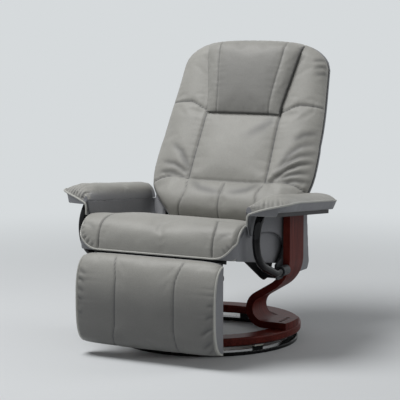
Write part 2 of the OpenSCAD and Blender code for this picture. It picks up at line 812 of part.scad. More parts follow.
module foot_bracket() {
    y1 = foot_rear_y + foot_board_t;
    color("#2d2e31") {
        plate_yz(foot_bracket_x, plate_t) difference() {
            union() {
                polygon([[y1, foot_bracket_low], [y1 + 14, foot_bracket_low], foot_hinge + [10, -6],
                    foot_hinge + [6, 9], [y1, foot_hinge[1] + 10]]);
                translate(foot_hinge) circle(r = 11, $fn = 48);
            }
            translate(foot_hinge) circle(r = rivet_r + pin_gap, $fn = 48);
        }
        translate([foot_bracket_x - 22, y1, foot_bracket_low + 6]) cube([22 + eps, 3, foot_hinge[1] - foot_bracket_low - 10]);
    }
}

module foot_bracket_right() { foot_bracket(); }
module foot_bracket_left() { mirror([1, 0, 0]) foot_bracket(); }

module foot_board() {
    x = foot_half_w - 12;
    color("#3b3b3f")
    translate([-x, foot_rear_y, foot_low_z + 10]) cube([2 * x, foot_board_t, foot_high_z - foot_low_z - 20]);
}

// Footrest pad: one section at each station across, with rounded upper and lower edges
function foot_ring(u) =
    let (x = u * foot_half_w, a = abs(u),
        full = pow(1 - pow(a, 4), 0.5),
        channel = 4 * bump(abs(x) - 122, 7),
        t = 46 + (foot_pad_t - 46) * full - channel,
        z0 = foot_low_z + 9 * (1 - full), z1 = foot_high_z - 8 * (1 - full),
        y0 = foot_rear_y - lay_gap, h = z1 - z0)
    concat(
        [[x, y0 - 4, z0 + 2], [x, y0 - 0.35 * t, z0]],
        [for (b = [15 : 25 : 90]) [x, y0 - 0.5 * t - 0.46 * t * sin(b), z0 + 26 * (1 - cos(b))]],
        [for (f = [0.25, 0.5, 0.75]) [x, y0 - t, z0 + f * h]],
        [for (b = [90 : -25 : 15]) [x, y0 - 0.5 * t - 0.46 * t * sin(b), z1 - 22 * (1 - cos(b))]],
        [[x, y0 - 0.35 * t, z1], [x, y0 - 4, z1 - 2]],
        [for (f = [1 : -1 / 14 : -0.01]) [x, y0, lerp(z0 + 4, z1 - 4, max(0, f))]]);

module foot_pad() {
    color("#9b9b96")
    loft([for (u = spread(22)) foot_ring(u)]);
}

// Back

module back_arm() {
    color("#232325")
    difference() {
        union() {
            back_place() plate_yz(back_arm_x, plate_t)
                polygon([[back_board_t, -118], [back_board_t, 150], [back_board_t + 14, 150],
                    [back_board_t + 16, -100], [46, -150], [44, -168], [24, -168], [18, -140]]);
            plate_yz(back_arm_x, plate_t) translate(back_pivot) circle(r = 15, $fn = 48);
        }
        rod_x(back_arm_x - 1, back_arm_x + plate_t + 1, back_pivot, back_pivot_r + pin_gap);
    }
}

module back_arm_right() { back_arm(); }
module back_arm_left() { mirror([1, 0, 0]) back_arm(); }

module back_pivots() {
    color("#77787c")
    both_sides() {
        rod_x(back_arm_x - 0.4, rail_x + rail_t, back_pivot, back_pivot_r);
        rod_x(back_arm_x - 5, back_arm_x - 0.4, back_pivot, back_pivot_r + 4);
        rod_x(rail_x + rail_t, rail_x + rail_t + 4, back_pivot, back_pivot_r + 4);
    }
}

// Outline of the back: half width at a height v, and the arched top edge
function back_half(v) =
    v < 40 ? lerp(back_low_half, back_half_w, pow(ease(v, back_low - 10, 60), 0.72))
    : lerp(back_half_w, back_half_w - 26, ease(v, 150, back_top - 20));
function back_edge_top(u) = back_top - back_corner_drop * pow(abs(u), 4);
function back_bend(v) = -back_bend_k * pow(max(0, v - back_bend_from), 2);
// Depth of the padding in front of the board
function back_depth(u, v) =
    let (x = u * back_half(v), rim = pow(max(0, 1 - pow(abs(u), 6)), 0.5),
        ends = sqrt(ease(v, back_low - 12, back_low + 34)) * sqrt(ease(back_edge_top(u) - v, -10, 46)),
        lumbar = 10 * bump(v + 60, 70), under = 8 * ease(v, pillow_low - 50, pillow_low - 8) * (1 - ease(abs(x), 150, 190)),
        columns = 8 * bump(abs(x) - back_seam_x, 8) * ease(v, -8, 4) * (1 - ease(v, 250, 290)),
        lower = 8 * bump(v - 12 * sin(180 * min(1, abs(u))), 7),
        upper = 6 * bump(v - back_upper_seam, 7) * ease(abs(x), 134, 150))
    8 + (back_pad_t - 8 + lumbar - under - columns - lower - upper) * rim * ends;

back_us = concat([-1, -0.985, -0.94, -0.86, -0.74, -0.6, -0.5, -0.46, -0.43, -0.36, -0.2], [0],
    [0.2, 0.36, 0.43, 0.46, 0.5, 0.6, 0.74, 0.86, 0.94, 0.985, 1]);
back_fs = [0, 0.012, 0.04, 0.09, 0.15, 0.197, 0.215, 0.235, 0.28, 0.36, 0.46, 0.56, 0.63, 0.655, 0.68, 0.75, 0.84, 0.92, 0.97, 1];

function back_v(u, f) = lerp(back_low, back_edge_top(u), f);

// Slice of the back at one height, from one depth behind the board's front plane to another
module back_slab(front_of, rear_of, us, fs, shrink) {
    loft([for (k = [len(fs) - 1 : -1 : 0]) let (f = fs[k]) concat(
        [for (u = us) let (v = back_v(u, f)) [u * (back_half(v) - shrink), front_of(u, v), v]],
        [for (i = [len(us) - 1 : -1 : 0]) let (u = us[i], v = back_v(u, f))
            [u * (back_half(v) - shrink), rear_of(u, v), v]])]);
}

module back_cushion() {
    color("#a2a29c")
    back_place() back_slab(function (u, v) back_bend(v) - back_depth(u, v), function (u, v) back_bend(v) - lay_gap,
        back_us, back_fs, 0);
}

board_fs = [0.01, 0.25, 0.47, 0.55, 0.63, 0.71, 0.79, 0.87, 0.94, 0.985];
shell_fs = [0, 0.03, 0.1, 0.25, 0.47, 0.55, 0.63, 0.71, 0.79, 0.87, 0.94, 0.98, 1];

module back_board() {
    color("#b08b5c")
    back_place() back_slab(function (u, v) back_bend(v) + lay_gap, function (u, v) back_bend(v) + back_board_t - 2 * lay_gap,
        spread(10), board_fs, 5);
}

function shell_depth(u, v) =
    5 + (back_shell_t - 5) * pow(max(0, 1 - pow(abs(u), 3)), 0.6) * sqrt(ease(v, back_low - 20, back_low + 80))
        * sqrt(ease(back_edge_top(u) - v, -10, 90));

module back_shell() {
    color("#6d6e70")
    back_place() difference() {
        back_slab(function (u, v) back_bend(v) + back_board_t, function (u, v) back_bend(v) + back_board_t + shell_depth(u, v),
            spread(14), shell_fs, 2);
        // Channels for the two steel back arms
        both_sides() translate([back_arm_x - 0.5, back_board_t - 4, back_low - 20])
            cube([plate_t + 1, 26, 150 - back_low + 21]);
    }
}

// Head pillow, laid on the upper part of the back cushion
function pillow_half(v) = lerp(pillow_low_half, pillow_top_half, ease(v, pillow_low - 40, back_top + 30));
function pillow_v(u, f) = lerp(pillow_low, back_edge_top(0.62 * u) - 9, f);
function pillow_ring(f) =
    let (us = spread(14))
    concat(
        [for (u = us) let (v = pillow_v(u, f), x = u * pillow_half(v), ub = x / back_half(v),
            dome = pow(max(0, 1 - pow(abs(u), 6)), 0.5) * pow(max(0, 1 - pow(abs(2 * f - 1), 5)), 0.45))
            [x, back_bend(v) - back_depth(ub, v) - pillow_lift - 1.5 - pillow_t * dome + 3 * bump(abs(x) - 104, 7), v]],
        [for (i = [len(us) - 1 : -1 : 0]) let (u = us[i], v = pillow_v(u, f), x = u * pillow_half(v), ub = x / back_half(v))
            [x, back_bend(v) - back_depth(ub, v) - pillow_lift, v]]);

module head_pillow() {
    color("#94948f")
    back_place() loft([for (t = spread(12)) pillow_ring((1 - t) / 2)]);
}

floor_ring();
ring_posts();
glide_shoes();
track_ring();
track_screws();
wood_ring();
leg_right();
leg_left();
foot_bolts();
leg_bracket_right();
leg_bracket_left();
bracket_bolts();
outrigger_right();
outrigger_left();
side_plate_right();
side_plate_left();
cross_tube_front();
cross_tube_rear();
arm_board_right();
arm_board_left();
arm_screws();
arm_tube_right();
arm_tube_left();
arm_panel_right();
arm_panel_left();
arm_pad_right();
arm_pad_left();
seat_rail_right();
seat_rail_left();
link_hanger_right();
link_hanger_left();
seat_frame();
seat_deck();
seat_cushion();
link_rivets();
front_link_right();
front_link_left();
rear_link_right();
rear_link_left();
carrier_right();
carrier_left();
carrier_tube();
carrier_rivets();
foot_bracket_right();
foot_bracket_left();
foot_board();
foot_pad();
back_arm_right();
back_arm_left();
back_pivots();
back_board();
back_shell();
back_cushion();
head_pillow();
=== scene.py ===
"""Swivel recliner in grey leather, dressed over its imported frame.

Lengths inside the piece builders are millimetres in each piece's own leaning frame, as an upholsterer
would measure them. They become metres of the chair's frame when a mesh is made.
"""

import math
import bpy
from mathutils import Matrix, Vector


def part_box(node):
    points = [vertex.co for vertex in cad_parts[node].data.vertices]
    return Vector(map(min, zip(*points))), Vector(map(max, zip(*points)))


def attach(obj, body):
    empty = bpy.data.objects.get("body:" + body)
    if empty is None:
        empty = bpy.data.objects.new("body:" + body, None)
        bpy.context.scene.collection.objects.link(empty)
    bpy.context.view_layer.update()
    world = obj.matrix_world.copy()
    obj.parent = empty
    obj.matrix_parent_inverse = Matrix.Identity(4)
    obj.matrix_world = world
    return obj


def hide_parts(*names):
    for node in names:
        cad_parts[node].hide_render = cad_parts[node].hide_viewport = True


bl_info = {
    "name": "Swivel recliner",
    "version": (1, 0, 0),
    "blender": (4, 5, 0),
    "location": "View3D > Sidebar > Recliner",
    "description": "Leather, wood and steel of a push-back swivel recliner",
    "category": "Add Mesh",
}

import bmesh
import bpy
import numpy as np
from bpy.props import FloatProperty, FloatVectorProperty, PointerProperty
from mathutils import Vector

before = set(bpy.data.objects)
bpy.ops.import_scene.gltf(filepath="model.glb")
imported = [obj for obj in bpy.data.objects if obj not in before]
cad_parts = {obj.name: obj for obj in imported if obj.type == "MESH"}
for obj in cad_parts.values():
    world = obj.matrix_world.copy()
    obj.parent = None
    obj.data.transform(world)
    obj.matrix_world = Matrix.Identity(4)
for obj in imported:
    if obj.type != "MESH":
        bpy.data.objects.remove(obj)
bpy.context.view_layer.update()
SEAT_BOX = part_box("seat_cushion")
FOOT_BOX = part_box("foot_pad")


# Colour and materials


def srgb(text):
    """Linear RGBA of an sRGB hex colour."""
    parts = [int(text[i : i + 2], 16) / 255 for i in (1, 3, 5)]
    return tuple(c / 12.92 if c <= 0.04045 else ((c + 0.055) / 1.055) ** 2.4 for c in parts) + (1.0,)


def shade_of(colour, share, lift=0.0):
    """A deeper or paler shade of a linear colour."""
    return tuple(min(1.0, c * share + lift) for c in colour[:3]) + (1.0,)


def add_node(tree, kind, links=(), **settings):
    """Adds a node. Settings are its properties or inputs; links are (socket or value, input) pairs."""
    node = tree.nodes.new(kind)
    for name, value in settings.items():
        if hasattr(node, name):
            setattr(node, name, value)
        else:
            node.inputs[name.replace("_", " ")].default_value = value
    for source, name in links:
        if isinstance(source, bpy.types.NodeSocket):
            tree.links.new(source, node.inputs[name])
        else:
            node.inputs[name].default_value = source
    return node


def new_material(name):
    """An empty material with its output, and the surface shader linked to it."""
    material = bpy.data.materials.new(name)
    material.use_nodes = True
    tree = material.node_tree
    tree.nodes.clear()
    shader = add_node(tree, "ShaderNodeBsdfPrincipled")
    add_node(tree, "ShaderNodeOutputMaterial", [(shader.outputs[0], "Surface")])
    return material, tree, shader


def per_metre(size_mm):
    """Texture scale that repeats a pattern at a real size in millimetres."""
    return 1000.0 / size_mm


def bonded_leather(name, colour, deeper, crease, roughness):
    """Bonded leather, embossed and semi-matt: soft broad highlights and a pebbled grain."""
    material, tree, shader = new_material(name)
    place = add_node(tree, "ShaderNodeTexCoord").outputs["Object"]
    # Dye that took unevenly: patches about 90 mm across
    dye = add_node(tree, "ShaderNodeTexNoise", [(place, "Vector")], Scale=per_metre(90), Detail=3.0)
    # Embossed pebbles are 1.2 mm on the real hide, drawn at 3.2 mm so that they show
    pebble = add_node(tree, "ShaderNodeTexVoronoi", [(place, "Vector")], Scale=per_metre(3.2))
    pore = add_node(tree, "ShaderNodeTexNoise", [(place, "Vector")], Scale=per_metre(5), Detail=4.0)
    # Slack in the hide: shallow unevenness about 35 mm across
    slack = add_node(tree, "ShaderNodeTexNoise", [(place, "Vector")], Scale=per_metre(35), Detail=2.0)
    spread = add_node(tree, "ShaderNodeMapRange", [(dye.outputs[0], "Value")], From_Min=0.3, From_Max=0.7)
    thin_dye = shade_of(colour, 0.9)
    toned = add_node(
        tree, "ShaderNodeMix", [(spread.outputs[0], 0), (thin_dye, 6), (colour, 7)], data_type="RGBA"
    ).outputs[2]
    pores = add_node(
        tree,
        "ShaderNodeMapRange",
        [(pebble.outputs["Distance"], "Value")],
        From_Min=0.1,
        From_Max=0.7,
        To_Min=1.0,
        To_Max=0.9,
    )
    grained = add_node(
        tree,
        "ShaderNodeMix",
        [(1.0, 0), (toned, 6), (pores.outputs[0], 7)],
        data_type="RGBA",
        blend_type="MULTIPLY",
    ).outputs[2]
    # Painted shade: where the flank share is set, the colour is painted towards the deeper side leather
    flank = add_node(tree, "ShaderNodeAttribute", attribute_name="flank")
    grained = add_node(
        tree, "ShaderNodeMix", [(flank.outputs["Fac"], 0), (grained, 6), (deeper, 7)], data_type="RGBA"
    ).outputs[2]
    # Painted shade in seams, creases and folds, with the dark thread of the stitching; the same share also
    # paints shade low on the footrest and pillow
    seam = add_node(tree, "ShaderNodeAttribute", attribute_name="seam")
    finished = add_node(
        tree, "ShaderNodeMix", [(seam.outputs["Fac"], 0), (grained, 6), (crease, 7)], data_type="RGBA"
    ).outputs[2]
    tree.links.new(finished, shader.inputs["Base Color"])
    smooth, rough = roughness - 0.07, roughness + 0.09
    gloss = add_node(tree, "ShaderNodeMapRange", [(pore.outputs[0], "Value")], To_Min=smooth, To_Max=rough)
    tree.links.new(gloss.outputs[0], shader.inputs["Roughness"])
    shader.inputs["IOR"].default_value = 1.45
    shader.inputs["Specular IOR Level"].default_value = 0.36
    broad = add_node(tree, "ShaderNodeBump", [(slack.outputs[0], "Height")], Strength=0.2, Distance=0.004)
    fine = add_node(
        tree,
        "ShaderNodeBump",
        [(pebble.outputs["Distance"], "Height"), (broad.outputs[0], "Normal")],
        Strength=0.16,
        Distance=0.0009,
    )
    tree.links.new(fine.outputs[0], shader.inputs["Normal"])
    return material


def stained_cherry(name, light, dark, round_grain=False):
    """Bent cherry plies, stained red-brown and lacquered: straight fine grain under a clear coat."""
    material, tree, shader = new_material(name)
    place = add_node(tree, "ShaderNodeTexCoord").outputs["Object"]
    if round_grain:
        # The ring's plies follow its curve, so the grain is laid out by radius, height and angle
        parts = add_node(tree, "ShaderNodeSeparateXYZ", [(place, "Vector")])
        radius = add_node(tree, "ShaderNodeVectorMath", [(place, 0)], operation="LENGTH")
        behind = add_node(
            tree, "ShaderNodeMath", [(parts.outputs["Y"], 0), (-1.0, 1)], operation="MULTIPLY"
        )
        turn = add_node(
            tree, "ShaderNodeMath", [(parts.outputs["X"], 0), (behind.outputs[0], 1)], operation="ARCTAN2"
        )
        place = add_node(
            tree,
            "ShaderNodeCombineXYZ",
            [(turn.outputs[0], "X"), (radius.outputs["Value"], "Y"), (parts.outputs["Z"], "Z")],
        ).outputs[0]
        stretch = (0.25, 1.0, 0.6)
    else:
        # Along the board the grain hardly changes; across it a line comes every 3 mm or so
        stretch = (0.03, 1.0, 0.03)
    laid = add_node(tree, "ShaderNodeMapping", [(place, "Vector")], Scale=stretch)
    along_grain = [(laid.outputs[0], "Vector")]
    lines = add_node(
        tree, "ShaderNodeTexNoise", along_grain, Scale=per_metre(3.4), Detail=5.0, Roughness=0.62
    )
    bands = add_node(tree, "ShaderNodeTexNoise", along_grain, Scale=per_metre(17), Detail=2.0)
    lined = add_node(
        tree, "ShaderNodeMapRange", [(lines.outputs[0], "Value")], From_Min=0.34, From_Max=0.66
    )
    banded = add_node(
        tree, "ShaderNodeMapRange", [(bands.outputs[0], "Value")], From_Min=0.35, From_Max=0.65
    )
    grain = add_node(
        tree, "ShaderNodeMix", [(lined.outputs[0], 0), (dark, 6), (light, 7)], data_type="RGBA"
    ).outputs[2]
    deep = add_node(
        tree, "ShaderNodeMix", [(banded.outputs[0], 0), (dark, 6), (grain, 7)], data_type="RGBA"
    ).outputs[2]
    body = add_node(tree, "ShaderNodeMix", [(0.45, 0), (grain, 6), (deep, 7)], data_type="RGBA").outputs[2]
    tree.links.new(body, shader.inputs["Base Color"])
    shader.inputs["Roughness"].default_value = 0.4
    shader.inputs["IOR"].default_value = 1.5
    shader.inputs["Specular IOR Level"].default_value = 0.07
    shader.inputs["Coat Weight"].default_value = 0.03
    shader.inputs["Coat Roughness"].default_value = 0.16
    bump = add_node(tree, "ShaderNodeBump", [(lines.outputs[0], "Height")], Strength=0.12, Distance=0.0006)
    tree.links.new(bump.outputs[0], shader.inputs["Normal"])
    return material


def painted_steel(name, colour, roughness, peel_mm):
    """Steel under baked powder paint: an even colour with the faint orange peel of the powder."""
    material, tree, shader = new_material(name)
    place = add_node(tree, "ShaderNodeTexCoord").outputs["Object"]
    peel = add_node(tree, "ShaderNodeTexNoise", [(place, "Vector")], Scale=per_metre(peel_mm), Detail=2.0)
    rub = add_node(tree, "ShaderNodeTexNoise", [(place, "Vector")], Scale=per_metre(40), Detail=5.0)
    paler = shade_of(colour, 1.5, 0.004)
    worn = add_node(tree, "ShaderNodeMapRange", [(rub.outputs[0], "Value")], From_Min=0.45, From_Max=0.75)
    coloured = add_node(
        tree, "ShaderNodeMix", [(worn.outputs[0], 0), (colour, 6), (paler, 7)], data_type="RGBA"
    )
    tree.links.new(coloured.outputs[2], shader.inputs["Base Color"])
    smooth, rough = roughness - 0.05, roughness + 0.08
    sheen = add_node(tree, "ShaderNodeMapRange", [(rub.outputs[0], "Value")], To_Min=smooth, To_Max=rough)
    tree.links.new(sheen.outputs[0], shader.inputs["Roughness"])
    shader.inputs["IOR"].default_value = 1.52
    shader.inputs["Specular IOR Level"].default_value = 0.2
    bump = add_node(tree, "ShaderNodeBump", [(peel.outputs[0], "Height")], Strength=0.08, Distance=0.0008)
    tree.links.new(bump.outputs[0], shader.inputs["Normal"])
    return material


def bare_steel(name, colour, roughness, streak_mm):
    """Plated or oxidised steel: metal shine broken by fine drawn streaks."""
    material, tree, shader = new_material(name)
    place = add_node(tree, "ShaderNodeTexCoord").outputs["Object"]
    laid = add_node(tree, "ShaderNodeMapping", [(place, "Vector")], Scale=(0.08, 1.0, 1.0))
    streak = add_node(
        tree, "ShaderNodeTexNoise", [(laid.outputs[0], "Vector")], Scale=per_metre(streak_mm), Detail=4.0
    )
    dull = shade_of(colour, 0.7)
    coloured = add_node(
        tree, "ShaderNodeMix", [(streak.outputs["Fac"], 0), (dull, 6), (colour, 7)], data_type="RGBA"
    )
    tree.links.new(coloured.outputs[2], shader.inputs["Base Color"])
    shader.inputs["Metallic"].default_value = 1.0
    smooth, rough = roughness - 0.08, roughness + 0.1
    worn = add_node(
        tree, "ShaderNodeMapRange", [(streak.outputs[0], "Value")], To_Min=smooth, To_Max=rough
    )
    tree.links.new(worn.outputs[0], shader.inputs["Roughness"])
    return material


def birch_plywood(name):
    """Raw rotary-cut birch plywood: pale, matt, with long wandering grain."""
    material, tree, shader = new_material(name)
    place = add_node(tree, "ShaderNodeTexCoord").outputs["Object"]
    laid = add_node(tree, "ShaderNodeMapping", [(place, "Vector")], Scale=(0.06, 1.0, 1.0))
    grain = add_node(
        tree,
        "ShaderNodeTexNoise",
        [(laid.outputs[0], "Vector")],
        Scale=per_metre(9),
        Detail=6.0,
        Distortion=0.6,
    )
    late, early = srgb("#a98a61"), srgb("#d9c19a")
    coloured = add_node(
        tree, "ShaderNodeMix", [(grain.outputs[0], 0), (late, 6), (early, 7)], data_type="RGBA"
    )
    tree.links.new(coloured.outputs[2], shader.inputs["Base Color"])
    shader.inputs["Roughness"].default_value = 0.72
    shader.inputs["IOR"].default_value = 1.5
    bump = add_node(tree, "ShaderNodeBump", [(grain.outputs[0], "Height")], Strength=0.15, Distance=0.0006)
    tree.links.new(bump.outputs[0], shader.inputs["Normal"])
    return material


def felted_lining(name, colour):
    """Thin black felted lining glued over board: matt, with loose fibres that catch a little light."""
    material, tree, shader = new_material(name)
    place = add_node(tree, "ShaderNodeTexCoord").outputs["Object"]
    # Fibres are finer than a pixel, so the clumps are drawn 3 mm apart
    fibre = add_node(
        tree, "ShaderNodeTexNoise", [(place, "Vector")], Scale=per_metre(3), Detail=5.0, Roughness=0.7
    )
    lint = shade_of(colour, 2.2, 0.006)
    coloured = add_node(
        tree, "ShaderNodeMix", [(fibre.outputs["Fac"], 0), (colour, 6), (lint, 7)], data_type="RGBA"
    )
    tree.links.new(coloured.outputs[2], shader.inputs["Base Color"])
    shader.inputs["Roughness"].default_value = 0.86
    shader.inputs["Sheen Weight"].default_value = 0.2
    bump = add_node(tree, "ShaderNodeBump", [(fibre.outputs[0], "Height")], Strength=0.4, Distance=0.001)
    tree.links.new(bump.outputs[0], shader.inputs["Normal"])
    return material


def moulded_nylon(name, colour):
    """Injection-moulded natural nylon: milky, slightly see-through and softly shiny."""
    material, tree, shader = new_material(name)
    place = add_node(tree, "ShaderNodeTexCoord").outputs["Object"]
    cloud = add_node(tree, "ShaderNodeTexNoise", [(place, "Vector")], Scale=per_metre(14), Detail=2.0)
    duller = shade_of(colour, 0.86)
    coloured = add_node(
        tree, "ShaderNodeMix", [(cloud.outputs["Fac"], 0), (duller, 6), (colour, 7)], data_type="RGBA"
    )
    tree.links.new(coloured.outputs[2], shader.inputs["Base Color"])
    shader.inputs["Roughness"].default_value = 0.42
    shader.inputs["IOR"].default_value = 1.53
    shader.inputs["Subsurface Weight"].default_value = 0.15
    shader.inputs["Subsurface Scale"].default_value = 0.003
    return material


def give_finish(names, material):
    """Puts one material on CAD nodes, whose shapes stay as they are."""
    for name in names:
        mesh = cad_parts[name].data
        mesh.materials.clear()
        mesh.materials.append(material)


# Shapes of the leaning pieces


class Leaning:
    """A piece's own frame: x across the chair, y rearwards and z up, leaning back about x."""

    def __init__(self, degrees, y, z):
        self.c = math.cos(math.radians(degrees))
        self.s = math.sin(math.radians(degrees))
        self.y = y
        self.z = z

    def out(self, p):
        """Millimetres here to metres in the chair's frame."""
        p = np.asarray(p, float)
        y = self.y + p[..., 1] * self.c + p[..., 2] * self.s
        z = self.z - p[..., 1] * self.s + p[..., 2] * self.c
        return np.stack([p[..., 0], y, z], -1) / 1000

    def back_in(self, q):
        """Metres in the chair's frame to millimetres here."""
        q = np.asarray(q, float) * 1000
        y = q[..., 1] - self.y
        z = q[..., 2] - self.z
        return np.stack([q[..., 0], y * self.c - z * self.s, y * self.s + z * self.c], -1)


# Lean in degrees, then where the piece's own zero lies in the chair: y and z in millimetres
UPRIGHT = Leaning(0, 0, 0)
SEAT = Leaning(9.6, -357, 328)
ARM = Leaning(5.4, 0, 437)
BACK = Leaning(30.35, 174, 500)


def bump_at(d, w):
    """A smooth hump of height 1 and half width w."""
    return np.exp(-((d / w) ** 2))


def ease(v, a, b):
    """From 0 to 1 between a and b with a soft start and end."""
    t = np.clip((np.asarray(v, float) - a) / (b - a), 0, 1)
    return t * t * (3 - 2 * t)


def blend_of(a, b, t):
    """From a to b as t goes from 0 to 1."""
    return a + (b - a) * t


def steps(a, b, step):
    """Even values from a to b, about a step apart."""
    return np.linspace(a, b, max(2, int(round(abs(b - a) / step)) + 1))


def along(points, count):
    """Points at equal spacing along a polyline."""
    points = np.asarray(points, float)
    run = np.concatenate([[0], np.cumsum(np.linalg.norm(np.diff(points, axis=0), axis=1))])
    at = np.linspace(0, run[-1], count)
    return np.stack([np.interp(at, run, points[:, k]) for k in range(points.shape[1])], -1)


def softened(points, rounds=3):
    """The same open path with its corners eased."""
    points = np.asarray(points, float)
    for _ in range(rounds):
        inner = (points[:-2] + 2 * points[1:-1] + points[2:]) / 4
        points = np.concatenate([points[:1], inner, points[-1:]])
    return points


def object_from(name, points, faces, material, boxing=None, first=0):
    """A mesh object from points in metres; faces from the first on have the boxing's leather."""
    mesh = bpy.data.meshes.new(name)
    corners = [tuple(p) for p in np.asarray(points)]
    mesh.from_pydata(corners, [], [tuple(int(i) for i in face) for face in faces])
    shell = bmesh.new()
    shell.from_mesh(mesh)
    bmesh.ops.recalc_face_normals(shell, faces=shell.faces)
    if shell.calc_volume(signed=True) < 0:
        bmesh.ops.reverse_faces(shell, faces=shell.faces)
    shell.to_mesh(mesh)
    shell.free()
    mesh.polygons.foreach_set("use_smooth", [True] * len(mesh.polygons))
    mesh.materials.append(material)
    if boxing:
        mesh.materials.append(boxing)
        mesh.polygons.foreach_set("material_index", [int(k >= first) for k in range(len(mesh.polygons))])
    made = bpy.data.objects.new(name, mesh)
    bpy.context.scene.collection.objects.link(made)
    return made


def stuffed_shell(name, top, base, material, boxing=None, rows=1):
    """Closed cover between a top and a base sheet of i x j points, joined round their edges by rows."""
    n, m = top.shape[:2]
    loop = [(i, 0) for i in range(n)] + [(n - 1, j) for j in range(1, m)]
    loop += [(i, m - 1) for i in range(n - 2, -1, -1)] + [(0, j) for j in range(m - 2, 0, -1)]
    rim = np.array([i * m + j for i, j in loop])
    points = [top.reshape(-1, 3), base.reshape(-1, 3)]
    levels = [rim]
    start = 2 * n * m
    for k in range(1, rows):
        share = k / rows
        points.append(blend_of(points[0][rim], points[1][rim], share))
        levels.append(np.arange(start, start + len(rim)))
        start += len(rim)
    levels.append(rim + n * m)
    faces = []
    for i in range(n - 1):
        for j in range(m - 1):
            a = i * m + j
            faces.append((a, a + 1, a + m + 1, a + m))
            b = a + n * m
            faces.append((b, b + m, b + m + 1, b + 1))
    for low, high in zip(levels, levels[1:]):
        for k in range(len(rim)):
            q = (k + 1) % len(rim)
            faces.append((low[q], low[k], high[k], high[q]))
    return object_from(name, np.concatenate(points), faces, material, boxing, 2 * (n - 1) * (m - 1))


def points_of(made):
    """The mesh's points in metres."""
    co = np.empty(len(made.data.vertices) * 3)
    made.data.vertices.foreach_get("co", co)
    return co.reshape(-1, 3)


def put_points(made, points):
    """Moves the mesh's points."""
    made.data.vertices.foreach_set("co", np.asarray(points, float).ravel())
    made.data.update()


def normals_of(made):
    """The outward direction at each point."""
    n = np.empty(len(made.data.vertices) * 3)
    made.data.vertex_normals.foreach_get("vector", n)
    return n.reshape(-1, 3)


def swell(made, hold, pressure, cap_mm, grow):
    """Stuffs a cover: the cloth swells under pressure between what is sewn or held, as far as the cap."""
    scene = bpy.context.scene
    last_frame = 20
    start = points_of(made)
    group = made.vertex_groups.new(name="sewn")
    for index, weight in enumerate(hold):
        if weight > 0.01:
            group.add([index], float(min(1, weight)), "REPLACE")
    # Leather that hardly stretches and bends stiffly, on a filling that carries its weight
    cloth = made.modifiers.new("Cover", "CLOTH")
    cloth.settings.quality = 5
    cloth.settings.mass = 0.3
    cloth.settings.tension_stiffness = 15
    cloth.settings.compression_stiffness = 15
    cloth.settings.shear_stiffness = 8
    cloth.settings.bending_stiffness = 1.5
    cloth.settings.use_pressure = True
    cloth.settings.uniform_pressure_force = pressure
    cloth.settings.effector_weights.gravity = 0
    cloth.settings.vertex_group_mass = group.name
    cloth.settings.shrink_min = -grow
    cloth.collision_settings.use_collision = False
    cloth.point_cache.frame_start = 1
    cloth.point_cache.frame_end = last_frame
    for number in range(1, last_frame + 1):
        scene.frame_set(number)
    shown = made.evaluated_get(bpy.context.evaluated_depsgraph_get())
    co = np.empty(len(shown.data.vertices) * 3)
    shown.data.vertices.foreach_get("co", co)
    made.modifiers.remove(cloth)
    made.vertex_groups.clear()
    scene.frame_set(1)
    move = co.reshape(-1, 3) - start
    far = np.linalg.norm(move, axis=1, keepdims=True)
    put_points(made, start + move * np.minimum(1, cap_mm / 1000 / np.maximum(far, 1e-9)))


def keep_shape(made):
    """Makes what an object's modifiers show its own mesh."""
    shown = made.evaluated_get(bpy.context.evaluated_depsgraph_get())
    mesh = bpy.data.meshes.new_from_object(shown)
    made.modifiers.clear()
    old = made.data
    made.data = mesh
    bpy.data.meshes.remove(old)
    mesh.polygons.foreach_set("use_smooth", [True] * len(mesh.polygons))


def subdivide(made):
    """Rounds a cover by one subdivision."""
    finer = made.modifiers.new("Finer", "SUBSURF")
    finer.levels = 1
    finer.render_levels = 1
    keep_shape(made)


def sew(made, lean, seams):
    """Presses seams and folds into a cover; seams(p) gives how deep each local point is and how dark it is
    painted as shade.
    """
    points = points_of(made)
    depth, dark = seams(lean.back_in(points))
    put_points(made, points - normals_of(made) * np.asarray(depth)[:, None] / 1000)
    mark_points(made, "seam", dark)


def mark_points(made, name, share):
    """Writes a share from 0 to 1 at each point, which the leather's colour reads."""
    mark = made.data.attributes.new(name, "FLOAT", "POINT")
    mark.data.foreach_set("value", np.clip(share, 0, 1).astype(np.float32))


def distance_to_path(p, path):
    """Distance from 2-D points to a polyline, how far along it the nearest place is, and the side."""
    p = np.asarray(p, float)
    best = np.full(len(p), 1e9)
    reach = np.zeros(len(p))
    side = np.zeros(len(p))
    done = 0.0
    for a, b in zip(np.asarray(path[:-1], float), np.asarray(path[1:], float)):
        run = b - a
        length = np.hypot(*run)
        t = np.clip(((p - a) @ run) / length**2, 0, 1)
        off = p - (a + t[:, None] * run)
        d = np.hypot(off[:, 0], off[:, 1])
        nearer = d < best
        best = np.where(nearer, d, best)
        reach = np.where(nearer, done + t * length, reach)
        side = np.where(nearer, np.sign(run[0] * off[:, 1] - run[1] * off[:, 0]), side)
        done += length
    return best, reach / done, side


def fold(p, path, depth, width):
    """A crease that dies out at both ends, with the hide heaped up beside it."""
    d, t, side = distance_to_path(p, path)
    live = np.sin(np.pi * np.clip(t * 0.96 + 0.02, 0, 1)) ** 0.6
    trough = bump_at(d, width)
    heap = 0.55 * bump_at(d - 2.1 * width, 1.5 * width) * (0.6 + 0.4 * side)
    # The second value is painted shade down in the crease
    return depth * live * (trough - heap), live * trough * 0.5


def gathers(run, off, pitch, depth, reach, seed):
    """Short pleats square to a seam: run is the way along it, off the distance from it."""
    wander = 0.22 * np.sin(run / pitch * 1.7 + seed) + 0.15 * np.sin(run / pitch * 0.61 + 2 * seed)
    wave = 0.5 - 0.5 * np.cos(2 * np.pi * (run / pitch + wander))
    uneven = 0.65 + 0.35 * np.sin(run / pitch * 2.3 + 3 * seed)
    return depth * uneven * wave**3 * np.exp(-np.maximum(off, 0) / (reach * (0.7 + 0.5 * uneven)))


